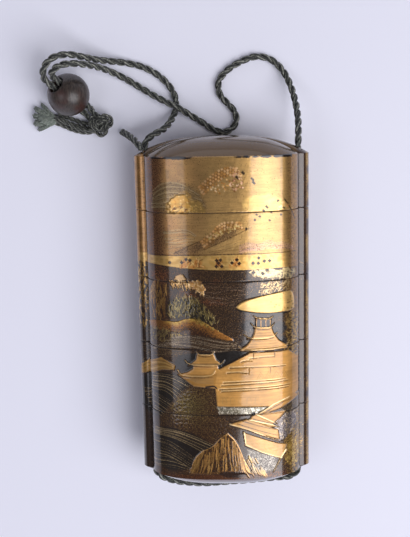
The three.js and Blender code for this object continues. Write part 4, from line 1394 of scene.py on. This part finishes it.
# Untwisted silk floss: the same green, paler and softer where the fibres lie loose.
floss, tree, shader = new_material("loose_green_silk_floss")
coords = node(tree, "ShaderNodeTexCoord")
strands = node(
    tree, "ShaderNodeTexNoise",
    {"Vector": coords.outputs["Object"], "Scale": 1000 / 0.6, "Detail": 3.0},
)
ramp = node(tree, "ShaderNodeValToRGB", {0: strands.outputs[0]})
ramp.color_ramp.elements[0].position = 0.3
ramp.color_ramp.elements[0].color = linear("#4d5850")
ramp.color_ramp.elements[1].position = 0.7
ramp.color_ramp.elements[1].color = linear("#98a397")
tree.links.new(ramp.outputs[0], shader.inputs["Base Color"])
shader.inputs["Roughness"].default_value = 0.6
shader.inputs["Sheen Weight"].default_value = 0.4
shader.inputs["Sheen Roughness"].default_value = 0.4

# Four strands run out of the knot, spread, and are nipped together again at the waist.
bm = bmesh.new()
for points, scale in [
    ([(-35.4, 52.6, 2.2), (-38, 52.6, 1.9), (-41.5, 53.6, 1.7), (-44.8, 54.4, 2),
      (-46.8, 54.9, 2)], 0.66),
    ([(-35, 51.6, 1.5), (-37.6, 51.2, 1.2), (-41, 51.9, 1.1), (-44, 53.2, 1.3),
      (-46.6, 54.3, 1.5)], 0.7),
    ([(-35.2, 52, 3.4), (-37.8, 52, 3), (-40.4, 52.8, 2.9), (-43.4, 54.6, 2.6),
      (-46.4, 55.5, 2.2)], 0.66),
    ([(-35.6, 53.6, 1.5), (-38.2, 53.8, 1.2), (-41.2, 54.9, 1.2), (-44.4, 55.9, 1.3),
      (-46.8, 55.8, 1.4)], 0.66),
]:
    twisted(bm, route(points), scale=scale, phase=scale * 40, sides=8)
bundle = finished("silk_cord_ends", bm, silk)

# Each tuft is a lock of loose fibres, drawn a little thicker than life so that they show.
FIBRE, FIBRES_IN_A_LOCK = 0.11, 70
rng = np.random.default_rng(5)
bm = bmesh.new()
for tip, spread in [
    ((-52.1, 58.2, 1.5), 0.85), ((-52.4, 56.2, 2.5), 0.85), ((-52.4, 54, 1.7), 0.95),
    ((-51.4, 52.3, 1.1), 0.75), ((-50.2, 59.3, 1.1), 0.7), ((-50.6, 55.2, 3.6), 0.8),
]:
    root = np.array((-45.6, 54.7, 1.8))
    lock = np.array(tip) - root
    for _ in range(FIBRES_IN_A_LOCK):
        out, angle = math.sqrt(rng.uniform()), rng.uniform(0, 2 * math.pi)
        off = np.array((0.3, math.cos(angle), math.sin(angle))) * out
        bend = rng.normal(0, 0.12, 3)
        end = 1 - 0.1 * rng.uniform() ** 2 - 0.06 * out

        def place(u, v):
            s = u[:, None] * end
            width = 0.45 + (spread - 0.45) * np.minimum(s * 2.2, 1)
            middle = root + lock * s + off * width + bend * np.sin(s * 7)
            middle[:, 2] = np.maximum(middle[:, 2] + 0.5 * np.sin(s[:, 0] * math.pi), FIBRE)
            ring = 2 * math.pi * v
            return middle + FIBRE * np.stack([0 * v, np.cos(ring), np.sin(ring)], axis=1)
        skin(bm, 7, 4, place)
rims = [edge for edge in bm.edges if edge.is_boundary]
bmesh.ops.holes_fill(bm, edges=rims, sides=0)
bmesh.ops.recalc_face_normals(bm, faces=bm.faces)
tufts = finished("silk_tufts", bm, floss)
for piece in (bundle, tufts):
    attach(piece, "root")
    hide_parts("cord_ends")

for side, pieces in (("right", [bead, knot, bundle, tufts]), ("left", [cords["cord_stub"][0]])):
    piece, line = cords[f"cord_{side}"]
